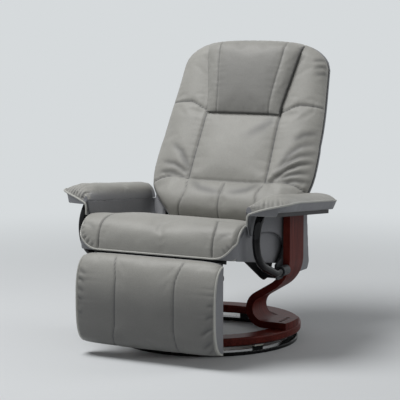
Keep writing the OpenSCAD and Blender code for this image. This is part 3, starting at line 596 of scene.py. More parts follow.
def welt(name, path, radius_mm, material, closed=False, sides=10):
    """Round piping along a path in metres."""
    path = np.asarray(path, float)
    count = len(path)
    if closed:
        ahead = np.roll(path, -1, 0) - np.roll(path, 1, 0)
    else:
        ahead = np.gradient(path, axis=0)
    ahead /= np.maximum(np.linalg.norm(ahead, axis=1, keepdims=True), 1e-12)
    across = np.cross(ahead[0], (0, 0, 1) if abs(ahead[0][2]) < 0.9 else (1, 0, 0))
    rings = []
    turn = 2 * np.pi * np.arange(sides) / sides
    for k in range(count):
        across = across - ahead[k] * (across @ ahead[k])
        across /= np.linalg.norm(across)
        up = np.cross(ahead[k], across)
        size = radius_mm / 1000
        # An open end is pressed flat into its seam
        if not closed and k in (0, count - 1):
            size *= 0.55
        rings.append(path[k] + size * (np.cos(turn)[:, None] * across + np.sin(turn)[:, None] * up))
    faces = []
    last = count if closed else count - 1
    for k in range(last):
        a, b = k * sides, ((k + 1) % count) * sides
        for i in range(sides):
            j = (i + 1) % sides
            faces.append((a + i, a + j, b + j, b + i))
    if not closed:
        faces.append(tuple(range(sides)))
        faces.append(tuple((count - 1) * sides + i for i in reversed(range(sides))))
    return object_from(name, np.concatenate(rings), faces, material)


def mirrored(made, name):
    """The left-hand twin of a right-hand piece."""
    points = points_of(made) * (-1, 1, 1)
    faces = [tuple(reversed(f.vertices)) for f in made.data.polygons]
    twin = object_from(name, points, faces, made.data.materials[0])
    for material in list(made.data.materials)[1:]:
        twin.data.materials.append(material)
    kinds = np.empty(len(faces), np.int32)
    made.data.polygons.foreach_get("material_index", kinds)
    twin.data.polygons.foreach_set("material_index", kinds)
    for mark in ("seam", "flank"):
        if mark in made.data.attributes:
            share = np.empty(len(points), np.float32)
            made.data.attributes[mark].data.foreach_get("value", share)
            mark_points(twin, mark, share)
    return twin


def finish_piece(made, body, nodes=()):
    """Rides a piece on its body, and hides the CAD nodes that it stands for."""
    if nodes:
        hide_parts(*nodes)
    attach(made, body)
    return made


# Sizes and colours


def colour_value(name, text, default):
    return FloatVectorProperty(
        name=name, description=text, default=srgb(default), size=4, min=0.0, max=1.0, subtype="COLOR"
    )


def length_value(name, text, default_mm):
    return FloatProperty(
        name=name, description=text, default=default_mm / 1000, unit="LENGTH", subtype="DISTANCE"
    )


def power_value(name, text, default):
    return FloatProperty(name=name, description=text, default=default, unit="POWER")


class LeatherSettings(bpy.types.PropertyGroup):
    """Colours of the leather, and the size of its piping and seams"""

    hide: colour_value("Leather", "Colour of the leather on the faces that are sat on", "#a2a19c")
    # Painted shade: the side leather is a darker copy of the same leather, for boxing, panels and the rear
    side: colour_value("Side leather", "Colour of the leather on boxing, panels and the rear", "#85868a")
    # Painted light: the piping colour is a paler copy of the same leather
    piping: colour_value("Piping", "Colour of the piping in the seams", "#b8b8b3")
    # Painted shade: the colour that seams, creases and folds are painted towards
    crease: colour_value("Creases", "Colour down in the seams and creases", "#3e3f42")
    piping_radius: length_value("Piping radius", "Radius of the round piping", 3.2)
    seam_depth: length_value("Seam depth", "How far a sewn seam is drawn into its cushion", 4.5)


class SeatSettings(bpy.types.PropertyGroup):
    """Sizes of the seat cushion"""

    half_width: length_value("Half width", "Half the width of the seat cushion", SEAT_BOX[1].x * 1000)
    length: length_value("Length", "Length of the seat cushion along its slope", 452)
    side_height: length_value("Side height", "Height of the seat cushion's side edge above the frame", 117)
    crown: length_value("Crown", "Extra height of the middle of the seat", 14)
    front_bulge: length_value("Front bulge", "How far the front of the seat swells forwards", 30)


class ArmSettings(bpy.types.PropertyGroup):
    """Sizes of the arm pads"""

    inner: length_value("Inner face", "Distance from the middle of the chair to the arm's inner face", 282)
    tip: length_value("Tip", "Distance from the middle of the chair to the outer tip of the pad", 411)
    middle: length_value("Outer edge", "Distance from the chair's middle to the pad's outer edge", 390)
    crown: length_value("Crown", "Height of the pad's crown above its board", 56)


class BackSettings(bpy.types.PropertyGroup):
    """Sizes of the back, its pillow and its rear cover"""

    half_width: length_value("Half width", "Half the width of the back at its widest", 295)
    top: length_value("Top", "Height of the back above its lower seam, along its slope", 526)
    padding: length_value("Padding", "Thickness of the padding in front of the board", 42)
    pillow: length_value("Pillow", "Thickness of the head pillow", 34)
    rear: length_value("Rear", "Depth of the rounded rear cover", 34)


class FootSettings(bpy.types.PropertyGroup):
    """Sizes of the footrest's pad"""

    half_width: length_value("Half width", "Half the width of the footrest", FOOT_BOX[1].x * 1000)
    low: length_value("Lower edge", "Height of the footrest's lower edge above the floor", 35)
    high: length_value("Upper edge", "Height of the footrest's upper edge above the floor", 329)
    thickness: length_value("Thickness", "Thickness of the footrest's pad at its crown", 74)


class StageSettings(bpy.types.PropertyGroup):
    """Floor, backdrop and lamps"""

    floor: colour_value("Floor", "Colour of the plain floor", "#d9dcde")
    backdrop: colour_value("Backdrop", "Colour behind the chair", "#d6dadc")
    key: power_value("Key light", "Power of the main lamp overhead", 112.0)
    fill: power_value("Fill light", "Power of the lamp on the right", 16.0)
    sky: FloatProperty(name="Sky", description="Strength of the even light from all round", default=0.2)


class ReclinerSettings(bpy.types.PropertyGroup):
    """All settings of the recliner"""

    leather: PointerProperty(type=LeatherSettings)
    seat: PointerProperty(type=SeatSettings)
    arm: PointerProperty(type=ArmSettings)
    back: PointerProperty(type=BackSettings)
    foot: PointerProperty(type=FootSettings)
    stage: PointerProperty(type=StageSettings)


def settings():
    """The recliner's sizes and colours, kept on the scene."""
    return bpy.context.scene.swivel_recliner


def take_sizes(piece, group):
    """Gives a piece each length of its settings, in millimetres."""
    for name in group.__annotations__:
        setattr(piece, name, getattr(group, name) * 1000)


def seam_depth():
    """How far a sewn seam is drawn in, in millimetres."""
    return settings().leather.seam_depth * 1000


def leather_finish(which):
    """The leather of the top faces, its darker copy painted as shade for the sides, or its paler copy
    painted as light for the piping, made once.
    """
    found = bpy.data.materials.get(which)
    if found:
        return found
    leather = settings().leather
    crease = tuple(leather.crease)
    side = tuple(leather.side)
    if which == "bonded_leather_face":
        return bonded_leather(which, tuple(leather.hide), side, crease, 0.46)
    if which == "bonded_leather_painted_shade":
        return bonded_leather(which, side, side, crease, 0.5)
    return bonded_leather(which, tuple(leather.piping), side, crease, 0.44)


def light_piping(name, path):
    """Round piping in the paler leather, painted light, along a path in metres."""
    return welt(name, path, settings().leather.piping_radius * 1000, leather_finish("leather_piping_painted_light"))


# The stage


class RECLINER_OT_stage(bpy.types.Operator):
    """Makes the floor, the backdrop, the lamps and the camera"""

    bl_idname = "recliner.stage"
    bl_label = "Stage"

    # The photograph's eye point, in degrees and metres, found from the chair's own outline
    view_turn, view_tilt = 26.98, 7.59
    eye_distance, eye_aside, eye_height = 5.3337, -0.025, 1.1727
    lens_mm, sensor_mm = 145.9, 36
    floor_reach = 9.0

    def execute(self, context):
        values = settings().stage
        scene = context.scene
        scene.view_settings.view_transform = "Standard"
        self.camera(scene)
        self.floor(values)
        self.sky(scene, values)
        self.lamp("key_lamp", (-1.2, -1.0, 3.6), (0.0, 0.0, 0.5), 2.2, values.key)
        self.lamp("fill_lamp", (2.4, 1.4, 1.8), (0.1, 0.1, 0.5), 1.6, values.fill)
        return {"FINISHED"}

    def camera(self, scene):
        """The photograph's view: from the right of the front, a little above."""
        turn = math.radians(self.view_turn)
        tilt = math.radians(self.view_tilt)
        away = Vector((math.sin(turn), -math.cos(turn), 0)) * self.eye_distance
        aside = Vector((math.cos(turn), math.sin(turn), 0)) * self.eye_aside
        lens = bpy.data.cameras.new("photo_camera")
        lens.sensor_width = self.sensor_mm
        lens.lens = self.lens_mm
        lens.clip_end = 50
        made = bpy.data.objects.new("photo_camera", lens)
        made.location = away + aside + Vector((0, 0, self.eye_height))
        made.rotation_euler = (math.pi / 2 - tilt, 0, turn)
        scene.collection.objects.link(made)
        scene.camera = made

    def floor(self, values):
        """Matt painted floor."""
        material, tree, shader = new_material("painted_floor")
        place = add_node(tree, "ShaderNodeTexCoord").outputs["Object"]
        cloud = add_node(tree, "ShaderNodeTexNoise", [(place, "Vector")], Scale=per_metre(900), Detail=1.0)
        colour = tuple(values.floor)
        deeper = shade_of(colour, 0.97)
        coloured = add_node(
            tree, "ShaderNodeMix", [(cloud.outputs["Fac"], 0), (deeper, 6), (colour, 7)], data_type="RGBA"
        )
        tree.links.new(coloured.outputs[2], shader.inputs["Base Color"])
        shader.inputs["Roughness"].default_value = 0.9
        shader.inputs["Specular IOR Level"].default_value = 0.2
        # Away from the chair the floor runs into the backdrop without a line
        sees = add_node(tree, "ShaderNodeLightPath")
        reach = add_node(tree, "ShaderNodeVectorMath", [(place, 0)], operation="LENGTH")
        far = add_node(
            tree,
            "ShaderNodeMapRange",
            [(reach.outputs["Value"], "Value")],
            interpolation_type="SMOOTHSTEP",
            From_Min=0.7,
            From_Max=3.2,
        )
        share = add_node(
            tree,
            "ShaderNodeMath",
            [(far.outputs[0], 0), (sees.outputs["Is Camera Ray"], 1)],
            operation="MULTIPLY",
        )
        glow = add_node(tree, "ShaderNodeEmission", Color=tuple(values.backdrop), Strength=1.0)
        both = add_node(
            tree,
            "ShaderNodeMixShader",
            [(share.outputs[0], 0), (shader.outputs[0], 1), (glow.outputs[0], 2)],
        )
        out = next(node for node in tree.nodes if node.type == "OUTPUT_MATERIAL")
        tree.links.new(both.outputs[0], out.inputs["Surface"])
        reach_m = self.floor_reach
        corners = [(x * reach_m, y * reach_m, 0) for x, y in ((-1, -1), (1, -1), (1, 1), (-1, 1))]
        mesh = bpy.data.meshes.new("floor")
        mesh.from_pydata(corners, [], [(0, 1, 2, 3)])
        mesh.materials.append(material)
        made = bpy.data.objects.new("floor", mesh)
        bpy.context.scene.collection.objects.link(made)

    def sky(self, scene, values):
        """Even light, and a pale backdrop for what looks past the chair."""
        world = bpy.data.worlds.new("studio")
        world.use_nodes = True
        tree = world.node_tree
        tree.nodes.clear()
        sees = add_node(tree, "ShaderNodeLightPath")
        direct = add_node(
            tree,
            "ShaderNodeMath",
            [(sees.outputs["Is Camera Ray"], 0), (sees.outputs["Is Glossy Ray"], 1)],
            operation="MAXIMUM",
        )
        seen = add_node(tree, "ShaderNodeBackground", Color=tuple(values.backdrop), Strength=1.0)
        felt = add_node(tree, "ShaderNodeBackground", Color=srgb("#ffffff"), Strength=values.sky)
        both = add_node(
            tree,
            "ShaderNodeMixShader",
            [(direct.outputs[0], 0), (felt.outputs[0], 1), (seen.outputs[0], 2)],
        )
        add_node(tree, "ShaderNodeOutputWorld", [(both.outputs[0], "Surface")])
        scene.world = world

    def lamp(self, name, place, aim, size, power):
        """A round soft lamp, aimed at a point."""
        light = bpy.data.lights.new(name, "AREA")
        light.shape = "DISK"
        light.size = size
        light.energy = power
        made = bpy.data.objects.new(name, light)
        made.location = place
        made.rotation_mode = "QUATERNION"
        made.rotation_quaternion = (Vector(aim) - Vector(place)).to_track_quat("-Z", "Y")
        bpy.context.scene.collection.objects.link(made)


# Wood, steel, board and plastic on the CAD's own shapes


class RECLINER_OT_wood(bpy.types.Operator):
    """Finishes the bentwood legs, the wooden ring and the plywood deck"""

    bl_idname = "recliner.wood"
    bl_label = "Bentwood and plywood"

    def execute(self, context):
        light, dark = srgb("#722e26"), srgb("#3c120e")
        give_finish(["leg_right", "leg_left"], stained_cherry("stained_cherry_legs", light, dark))
        ring = stained_cherry("stained_cherry_ring", light, dark, round_grain=True)
        give_finish(["wood_ring"], ring)
        give_finish(["seat_deck"], birch_plywood("birch_plywood"))
        return {"FINISHED"}


class RECLINER_OT_steel(bpy.types.Operator):
    """Finishes the tubes, the mechanism, the brackets and their fasteners"""

    bl_idname = "recliner.steel"
    bl_label = "Steel"

    def execute(self, context):
        gloss = painted_steel("gloss_black_powder_paint", srgb("#0d0d0f"), 0.16, 2.2)
        satin = painted_steel("satin_black_powder_paint", srgb("#131315"), 0.38, 2.6)
        grey = painted_steel("satin_grey_powder_paint", srgb("#3c3e40"), 0.42, 2.6)
        oxide = bare_steel("black_oxide_steel", srgb("#26262a"), 0.45, 1.2)
        zinc = bare_steel("zinc_plated_steel", srgb("#b9bbbf"), 0.34, 1.0)
        both = ("_right", "_left")
        give_finish(["arm_tube" + s for s in both] + ["floor_ring", "ring_posts"], gloss)
        dark = ["side_plate", "seat_rail", "link_hanger", "back_arm", "outrigger", "carrier"]
        dark += ["front_link", "rear_link", "foot_bracket"]
        give_finish([n + s for n in dark for s in both], satin)
        give_finish(["cross_tube_front", "cross_tube_rear", "carrier_tube", "track_ring"], satin)
        give_finish(["leg_bracket" + s for s in both], grey)
        give_finish(["foot_bolts", "bracket_bolts", "arm_screws"], oxide)
        give_finish(["track_screws", "link_rivets", "carrier_rivets", "back_pivots"], zinc)
        return {"FINISHED"}


class RECLINER_OT_boards(bpy.types.Operator):
    """Finishes the lined boards and the nylon shoes"""

    bl_idname = "recliner.boards"
    bl_label = "Boards and shoes"

    def execute(self, context):
        lining = felted_lining("black_felted_lining", srgb("#1a1a1c"))
        give_finish(["arm_board_right", "arm_board_left", "foot_board", "seat_frame"], lining)
        give_finish(["glide_shoes"], moulded_nylon("natural_nylon", srgb("#d9d7cd")))
        return {"FINISHED"}


# Seat


class RECLINER_OT_seat(bpy.types.Operator):
    """Makes the seat cushion, its piping, the leather band under it and a black strip that stands in for
    shade
    """

    bl_idname = "recliner.seat"
    bl_label = "Seat"

    # Distance from the middle to the two channels
    seam_x = 200
    # Height at which the cushion sits on the frame and its deck
    frame_top = 56.3
    # Radii of the roll over the front and of the two front corners
    roll, corner = 74, 16
    # Rear side of the lip that hangs in front of the frame
    lip_rear = 21.4
    # Room that the padding leaves for the swelling
    swelling = 7

    def execute(self, context):
        take_sizes(self, settings().seat)
        across = np.concatenate(
            [
                steps(-self.half_width, -self.seam_x - 9, 7),
                [-self.seam_x - 4, -self.seam_x, -self.seam_x + 4],
                steps(-self.seam_x + 9, self.seam_x - 9, 8.5),
                [self.seam_x - 4, self.seam_x, self.seam_x + 4],
                steps(self.seam_x + 9, self.half_width, 7),
            ]
        )
        count = 72
        top = np.array([self.over(x, count) for x in across])
        base = np.array([self.under(x, count) for x in across])
        cushion = stuffed_shell(
            "seat_cushion_cover",
            SEAT.out(top),
            SEAT.out(base),
            leather_finish("bonded_leather_face"),
            leather_finish("bonded_leather_painted_shade"),
            rows=8,
        )
        local = SEAT.back_in(points_of(cushion))
        swell(cushion, self.held(local), pressure=2.0, cap_mm=9, grow=0.003)
        rim = points_of(cushion)[: top.shape[0] * count].reshape(top.shape)
        subdivide(cushion)
        sew(cushion, SEAT, self.seams)
        finish_piece(cushion, "seat", ["seat_cushion"])
        path = np.concatenate([rim[0, ::-1][6:-1], rim[:, 0], rim[-1][1:-6]])
        path = softened(along(path, 330), 4)
        push = SEAT.back_in(path)
        push[:, 0] = np.clip(push[:, 0], 1 - self.half_width, self.half_width - 1)
        finish_piece(light_piping("seat_piping", SEAT.out(push)), "seat")
        self.band()
        self.lining()
        return {"FINISHED"}

    def section(self, x):
        """Front, fullness and lower edge of the cushion's face at a place across it."""
        a = min(1.0, abs(x) / self.half_width)
        near = max(0.0, abs(x) - (self.half_width - self.corner))
        inset = self.corner - math.sqrt(max(0.0, self.corner**2 - near**2))
        full = math.sqrt(max(0.0, 1 - a**5))
        return inset, full, float(self.low_edge(x))

    def low_edge(self, x):
        """Height of the front piping: level in the middle and swept up at the two corners."""
        past = np.clip((np.abs(x) - (self.half_width - 75)) / 75, 0, 1)
        return 5 + 54 * past**2.4

    def over(self, x, count):
        """The cushion's face at a place across it: up the front, over the roll and back."""
        inset, full, low = self.section(x)
        top = self.side_height + (self.crown - self.swelling) * full
        front = inset - self.front_bulge + 8
        roll = self.roll
        path = [(front + 4, low)]
        if low < top - roll - 4:
            path.append((front, blend_of(low, top - roll, 0.6)))
        for turn in np.radians(np.arange(0, 91, 9)):
            rise = top - roll + roll * math.sin(turn)
            if rise > low + 3:
                path.append((front + roll * (1 - math.cos(turn)), rise))
        path += [(0.5 * self.length, top - 1), (self.length - 26, top - 5), (self.length - 8, top - 14)]
        path += [(self.length - 1, top - 32)]
        path = softened(along(path, count), 2)
        return np.column_stack([np.full(count, x), path])

    def under(self, x, count):
        """The cushion's underside: a lip in front of the frame, then the part that sits on the deck."""
        inset = self.section(x)[0]
        lip = 2.6 + 0.7 * inset
        path = [(inset - self.front_bulge + 19, lip), (self.lip_rear, lip)]
        path += [(self.lip_rear, self.frame_top), (self.length - 1, self.frame_top)]
        return np.column_stack([np.full(count, x * (1 - 2 / self.half_width)), along(path, count)])

    def held(self, p):
        """What the swelling leaves in place: the base, the boxing and the sewn seams."""
        x, s, t = np.abs(p[:, 0]), p[:, 1], p[:, 2]
        side = ease(x, self.half_width - 5, self.half_width - 0.5)
        base = 1 - ease(t, self.frame_top + 3, self.frame_top + 16)
        behind_lip = s > self.lip_rear - 2.4
        base = np.where(behind_lip, base, 1 - ease(t - self.low_edge(x), 3, 18))
        rear = ease(s, self.length - 6, self.length - 1)
        seam = 0.97 * bump_at(x - self.seam_line(s), 4.5) * (1 - ease(s, 70, 130))
        inside = (behind_lip & (t < self.frame_top + 2)).astype(float)
        return np.maximum.reduce([side, base, rear, seam, inside])

    def way_over(self, s, t):
        """The way up the front and then back over the top."""
        return np.where(s < 25, t, 110 + s)

    def seam_line(self, s):
        """The two channels draw in a little as they go over the roll."""
        return self.seam_x + 2 - 20 * ease(s, -16, 64)

    def seams(self, p):
        """Sewn channels over the front roll, and the tucks at the front corners."""
        x, s, t = p[:, 0], p[:, 1], p[:, 2]
        side = np.abs(x)
        deep = seam_depth()
        above = t - self.low_edge(x)
        face = ease(above, 1, 6) * ease(-s, -self.length + 6, -self.length + 30)
        show = (1 - ease(s, 60, 120)) * (side < self.half_width - 4) * face
        away = np.abs(side - self.seam_line(s))
        depth = 0.8 * deep * bump_at(away, 4.0) * show
        # Painted shade down in the two channels
        dark = 0.8 * bump_at(away, 2.0) * show
        way = self.way_over(s, t)
        depth += gathers(way, away, 17, 1.2, 16, 1.0) * show
        # Tucks that fan out from the piping round each front corner, nearly twelve of them
        flat = np.column_stack([side, t])
        rounding = ((80, 5), (44, 14), (18, 34), (3, 56), (0, 84))
        corner = [(self.half_width - back, up) for back, up in rounding]
        tucks = 11.8182
        off, share, _ = distance_to_path(flat, corner)
        depth += (s < 50) * face * gathers(share * tucks, off, 1, 2.8, 17, 2.0)
        # Painted shade along the top of the front piping
        dark = np.maximum(dark, 0.45 * bump_at(above, 3) * (s < 30) * (t > 3) * ease(above, -0.5, 1))
        edge = self.half_width - side
        depth += ease(s, 20, 50) * face * gathers(s, edge, 24, 1.3, 15, 0.6)
        # Slack of a seat that has been sat in
        top = ease(t, 90, 112)
        depth += top * (0.8 * np.sin(x / 61 + 0.6) * np.sin(s / 83 + 0.4) + 0.3 * np.sin(x / 27 + s / 41))
        depth += top * ease(s, 330, 440) * gathers(x, self.length - s, 34, 2.0, 40, 0.5)
        # Painted shade in the creases
        for path, how, wide in self.creases():
            more, shade = fold(np.column_stack([x, way]), path, how, wide)
            depth += more * face
            dark = np.maximum(dark, (0.85 if wide < 5 else 0.5) * shade * face)
        return depth, dark

    def creases(self):
        """Soft creases over the front roll: (path of x against the way up and over, depth, half width)."""
        return [
            ([(214, 60), (236, 78), (262, 84)], 0.8, 7),
            ([(-216, 66), (-240, 82), (-264, 84)], 1.0, 7),
            ([(-277, 84), (-262, 86)], 1.6, 4),
            ([(-276, 64), (-258, 72)], 2.2, 4),
            ([(-270, 46), (-252, 58)], 2.6, 4),
            ([(-260, 32), (-244, 47)], 2.8, 4),
            ([(-246, 20), (-234, 36)], 2.6, 4),
            ([(-228, 11), (-220, 26)], 2.0, 4),
            ([(264, 36), (250, 50)], 1.4, 4),
            ([(250, 22), (238, 38)], 1.4, 4),
        ]

    def lining(self):
        """Painted shade: a black felted strip that fills the shaded gap between the seat's front lip and
        the footrest.
        """
        x, t = np.meshgrid(steps(-236, 236, 12), steps(-9.5, 2.4, 2.4), indexing="ij")
        wave = 0.3 * np.sin(x / 17)
        strip = stuffed_shell(
            "seat_painted_shade_strip",
            SEAT.out(np.stack([x, 18.4 + wave, t], -1)),
            SEAT.out(np.stack([x, 19.6 + wave, t], -1)),
            bpy.data.materials["black_felted_lining"],
        )
        finish_piece(strip, "seat")

    def band(self):
        """Leather side panels and rear band, stapled under the timber frame."""
        x0 = self.half_width - 1.6
        rear = self.length - 1.8
        plan = [(-x0 + 5, 4), (-x0 + 1, 10), (-x0, 20)]
        plan += [(-x0, rear - 8), (-x0 + 8, rear), (x0 - 8, rear), (x0, rear - 8)]
        plan += [(x0, 20), (x0 - 1, 10), (x0 - 5, 4)]
        path = along(plan, 210)
        way = np.gradient(path, axis=0)
        way /= np.linalg.norm(way, axis=1, keepdims=True)
        out = np.column_stack([-way[:, 1], way[:, 0]])
        # The upper edge follows the piping up and over the roll
        start, lowest, below = 12, 46, 4
        past = path[:, 1] - start
        turn = np.where(past < self.roll, np.arccos(np.clip(1 - past / self.roll, -1, 1)), np.pi / 2)
        high = self.side_height - self.roll + self.roll * np.sin(turn) - below
        high = np.where(past < 0, lowest, np.clip(high, lowest, self.side_height - below))
        high = np.where(path[:, 1] > self.length - 60, 60, high)
        high = softened(np.column_stack([high, high]), 3)[:, 0]
        outer, inner = [], []
        for share in np.linspace(0, 1, 16):
            swelling = 1.4 + 0.3 * math.sin(math.pi * share)
            edge = path + out * swelling
            level = blend_of(2.6, high, share)
            outer.append(np.column_stack([edge, level]))
            inner.append(np.column_stack([path + out * 0.1, level]))
        band = stuffed_shell(
            "seat_band",
            SEAT.out(np.array(outer)),
            SEAT.out(np.array(inner)),
            leather_finish("bonded_leather_painted_shade"),
        )
        subdivide(band)
        sew(band, SEAT, lambda p: (0.35 * np.sin(p[:, 1] / 19) * np.sin(p[:, 2] / 9), np.zeros(len(p))))
        finish_piece(band, "seat")


# Arms


class RECLINER_OT_arms(bpy.types.Operator):
    """Makes the arm pads with their boxing, gathers and piping"""

    bl_idname = "recliner.arms"
    bl_label = "Arm pads"

    # Places along the arm: its two ends, its outer tip and where the lip begins
    front, rear, tip_y, lip = -302, 184, -240, -269.4
    # Height of the flat underside, just clear of the board, and its outer edge
    board, foot = 12.3, 374

    def execute(self, context):
        take_sizes(self, settings().arm)
        stations = np.concatenate(
            [
                steps(self.rear, -206, 8.5),
                steps(-211, self.lip + 0.2, 4.5),
                steps(self.lip - 0.2, self.front, 3.6),
            ]
        )
        count = 28
        top = np.array([self.over(y, count) for y in stations])
        base = np.array([self.under(y, count) for y in stations])
        pad = stuffed_shell(
            "arm_pad_cover_right",
            ARM.out(top),
            ARM.out(base),
            leather_finish("bonded_leather_face"),
            leather_finish("bonded_leather_painted_shade"),
            rows=5,
        )
        swell(pad, self.held(ARM.back_in(points_of(pad))), pressure=2.5, cap_mm=7, grow=0.002)
        rim = points_of(pad)[: len(stations) * count].reshape(top.shape)
        subdivide(pad)
        # Painted shade on the lower inner side of the pad
        mark_points(pad, "flank", self.flank(ARM.back_in(points_of(pad))))
        # The piping follows the outer edge and the slanting front, then turns down the inner side
        inner = [(290, -303, 4), (287.5, -303, -8), (287, -302.5, -22), (287, -301.5, -34)]
        edge = np.concatenate([rim[1:-2, -1], ARM.out(np.array(inner))])
        path = softened(along(edge, 210), 6)
        piping = light_piping("arm_piping_right", path)
        pad_left = mirrored(pad, "arm_pad_cover_left")
        sew(pad, ARM, self.seams)
        sew(pad_left, ARM, self.seams)
        piping_left = mirrored(piping, "arm_piping_left")
        finish_piece(pad, "turntable", ["arm_pad_right"])
        finish_piece(pad_left, "turntable", ["arm_pad_left"])
        finish_piece(piping, "turntable")
        finish_piece(piping_left, "turntable")
        return {"FINISHED"}

    def edges(self, y):
        """Inner edge, outer edge, crown and height of the piping at a place along the arm."""
        tip, first = self.tip - 3, self.inner + 20
        share = 1.0
        if y < self.tip_y:
            along_edge = max(0.0, y - self.front) / (self.tip_y - self.front)
            share = math.sin(math.radians(90) * along_edge) ** 0.85
            outer = blend_of(first, tip, share)
        else:
            outer = blend_of(tip, self.middle, ease(y, self.tip_y, self.tip_y + 120))
            outer -= 3 * ease(y, self.rear - 40, self.rear)
        inner = self.inner + 15 * ease(y, self.rear - 48, self.rear - 22)
        crown = self.crown * (0.3 + 0.7 * math.sqrt(ease(y, self.front - 4, -214)))
        crown *= 1 - 0.05 * ease(y, self.rear - 50, self.rear)
        rim = 0.52 * crown + 2 - 14 * (1 - share) ** 1.6
        return float(inner), float(outer), float(crown), float(rim)

    def over(self, y, count):
        """The top leather: up the inner side, over the crown and down to the piping."""
        inner, outer, crown, rim = self.edges(y)
        wide = outer - inner
        crown -= 3
        path = [(inner, 5)]
        for turn in np.radians(np.arange(10, 91, 10)):
            path.append((inner + 0.42 * wide * (1 - math.cos(turn)), max(5, crown * math.sin(turn))))
        for t in (0.2, 0.4, 0.6, 0.8, 1.0):
            path.append((blend_of(inner + 0.42 * wide, outer - 0.5, t), blend_of(crown, rim, t**2.2)))
        path = softened(along(path, count), 1)
        return np.column_stack([path[:, 0], np.full(count, y), self.board + path[:, 1]])

    def under(self, y, count):
        """The underside rests on the board, and in front of the board it hangs down as a lip."""
        inner, outer = self.edges(y)[:2]
        foot = min(self.foot, outer - 6)
        x = np.linspace(inner, foot, count)
        z = np.full(count, self.board)
        if y < self.lip:
            # Above the side panel it stays up, and beside the panel it comes down
            x[:2] = (inner, self.inner + 8.8)
            x[2:] = np.linspace(self.inner + 9.1, max(foot, self.inner + 14), count - 2)
            z[2:] = 0.6
        return np.column_stack([x, np.full(count, y), z])

    def held(self, p):
        """What the swelling leaves in place: the underside, the piped edge and the inner side's foot."""
        x, y, up = p[:, 0], p[:, 1], p[:, 2] - self.board
        outer = np.array([self.edges(v)[1] for v in y])
        base = 1 - ease(up, 1, 6)
        edge = ease(x, outer - 7, outer - 1)
        inner = (1 - ease(x, self.inner + 2, self.inner + 12)) * (1 - ease(up, 8, 34))
        tip = 1 - ease(y, self.front + 1, self.front + 10)
        rear = ease(y, self.rear - 26, self.rear)
        return np.maximum.reduce([base, edge, inner, tip, rear])

    def flank(self, p):
        """Painted shade: the lower inner side is painted towards the colour of the panel below it."""
        inner = np.array([self.edges(y)[0] for y in p[:, 1]])
        low = 1 - ease(p[:, 2], self.board + 6, self.board + 44)
        return low * (1 - ease(p[:, 0] - inner, 6, 22)) * ease(p[:, 1], -298, -268)

    def seams(self, p):
        """Pleats that run back from the piping of the slanting front edge, and slack along the top."""
        x, y, z = np.abs(p[:, 0]), p[:, 1], p[:, 2]
        # The left arm's pleats stand open; the right arm's are pulled nearly smooth
        open_share = np.where(p[:, 0] < 0, 1.0, 0.3)
        edges = np.array([self.edges(v) for v in y])
        path = [(self.edges(v)[1], v) for v in (self.front, -296, -288, -278, -266, -252, -238, -215)]
        off, share, _ = distance_to_path(np.column_stack([x, y]), path)
        above = ease(z - self.board - edges[:, 3], -1, 5)
        # The way along the slanting edge, counted in pleats about 15 mm wide
        run = share * 10.3333
        depth = gathers(run, off, 1, 9.0, 26, 0.7) * above * open_share
        wave = 0.5 - 0.5 * np.cos(2 * np.pi * run)
        # Painted shade in the hollows of the pleats
        dark = 0.9 * bump_at(off - 6, 13) * above * wave**2 * open_share
        edge = np.abs(x - edges[:, 1])
        depth += above * (y > -210) * gathers(y, edge, 26, 1.0, 14, 1.9)
        top = ease(z, self.board + 22, self.board + 40)
        depth += top * 0.5 * np.sin(y / 37 + 0.7) * np.sin(x / 19)
        for path, how, wide in (
            ([(300, -262), (330, -226), (350, -170), (352, -120)], 1.2, 9),
            ([(372, -240), (366, -190), (368, -140)], 0.9, 8),
            ([(330, 40), (352, 86), (366, 140)], 1.0, 9),
        ):
            depth += top * fold(np.column_stack([x, y]), path, how, wide)[0]
        return depth, dark


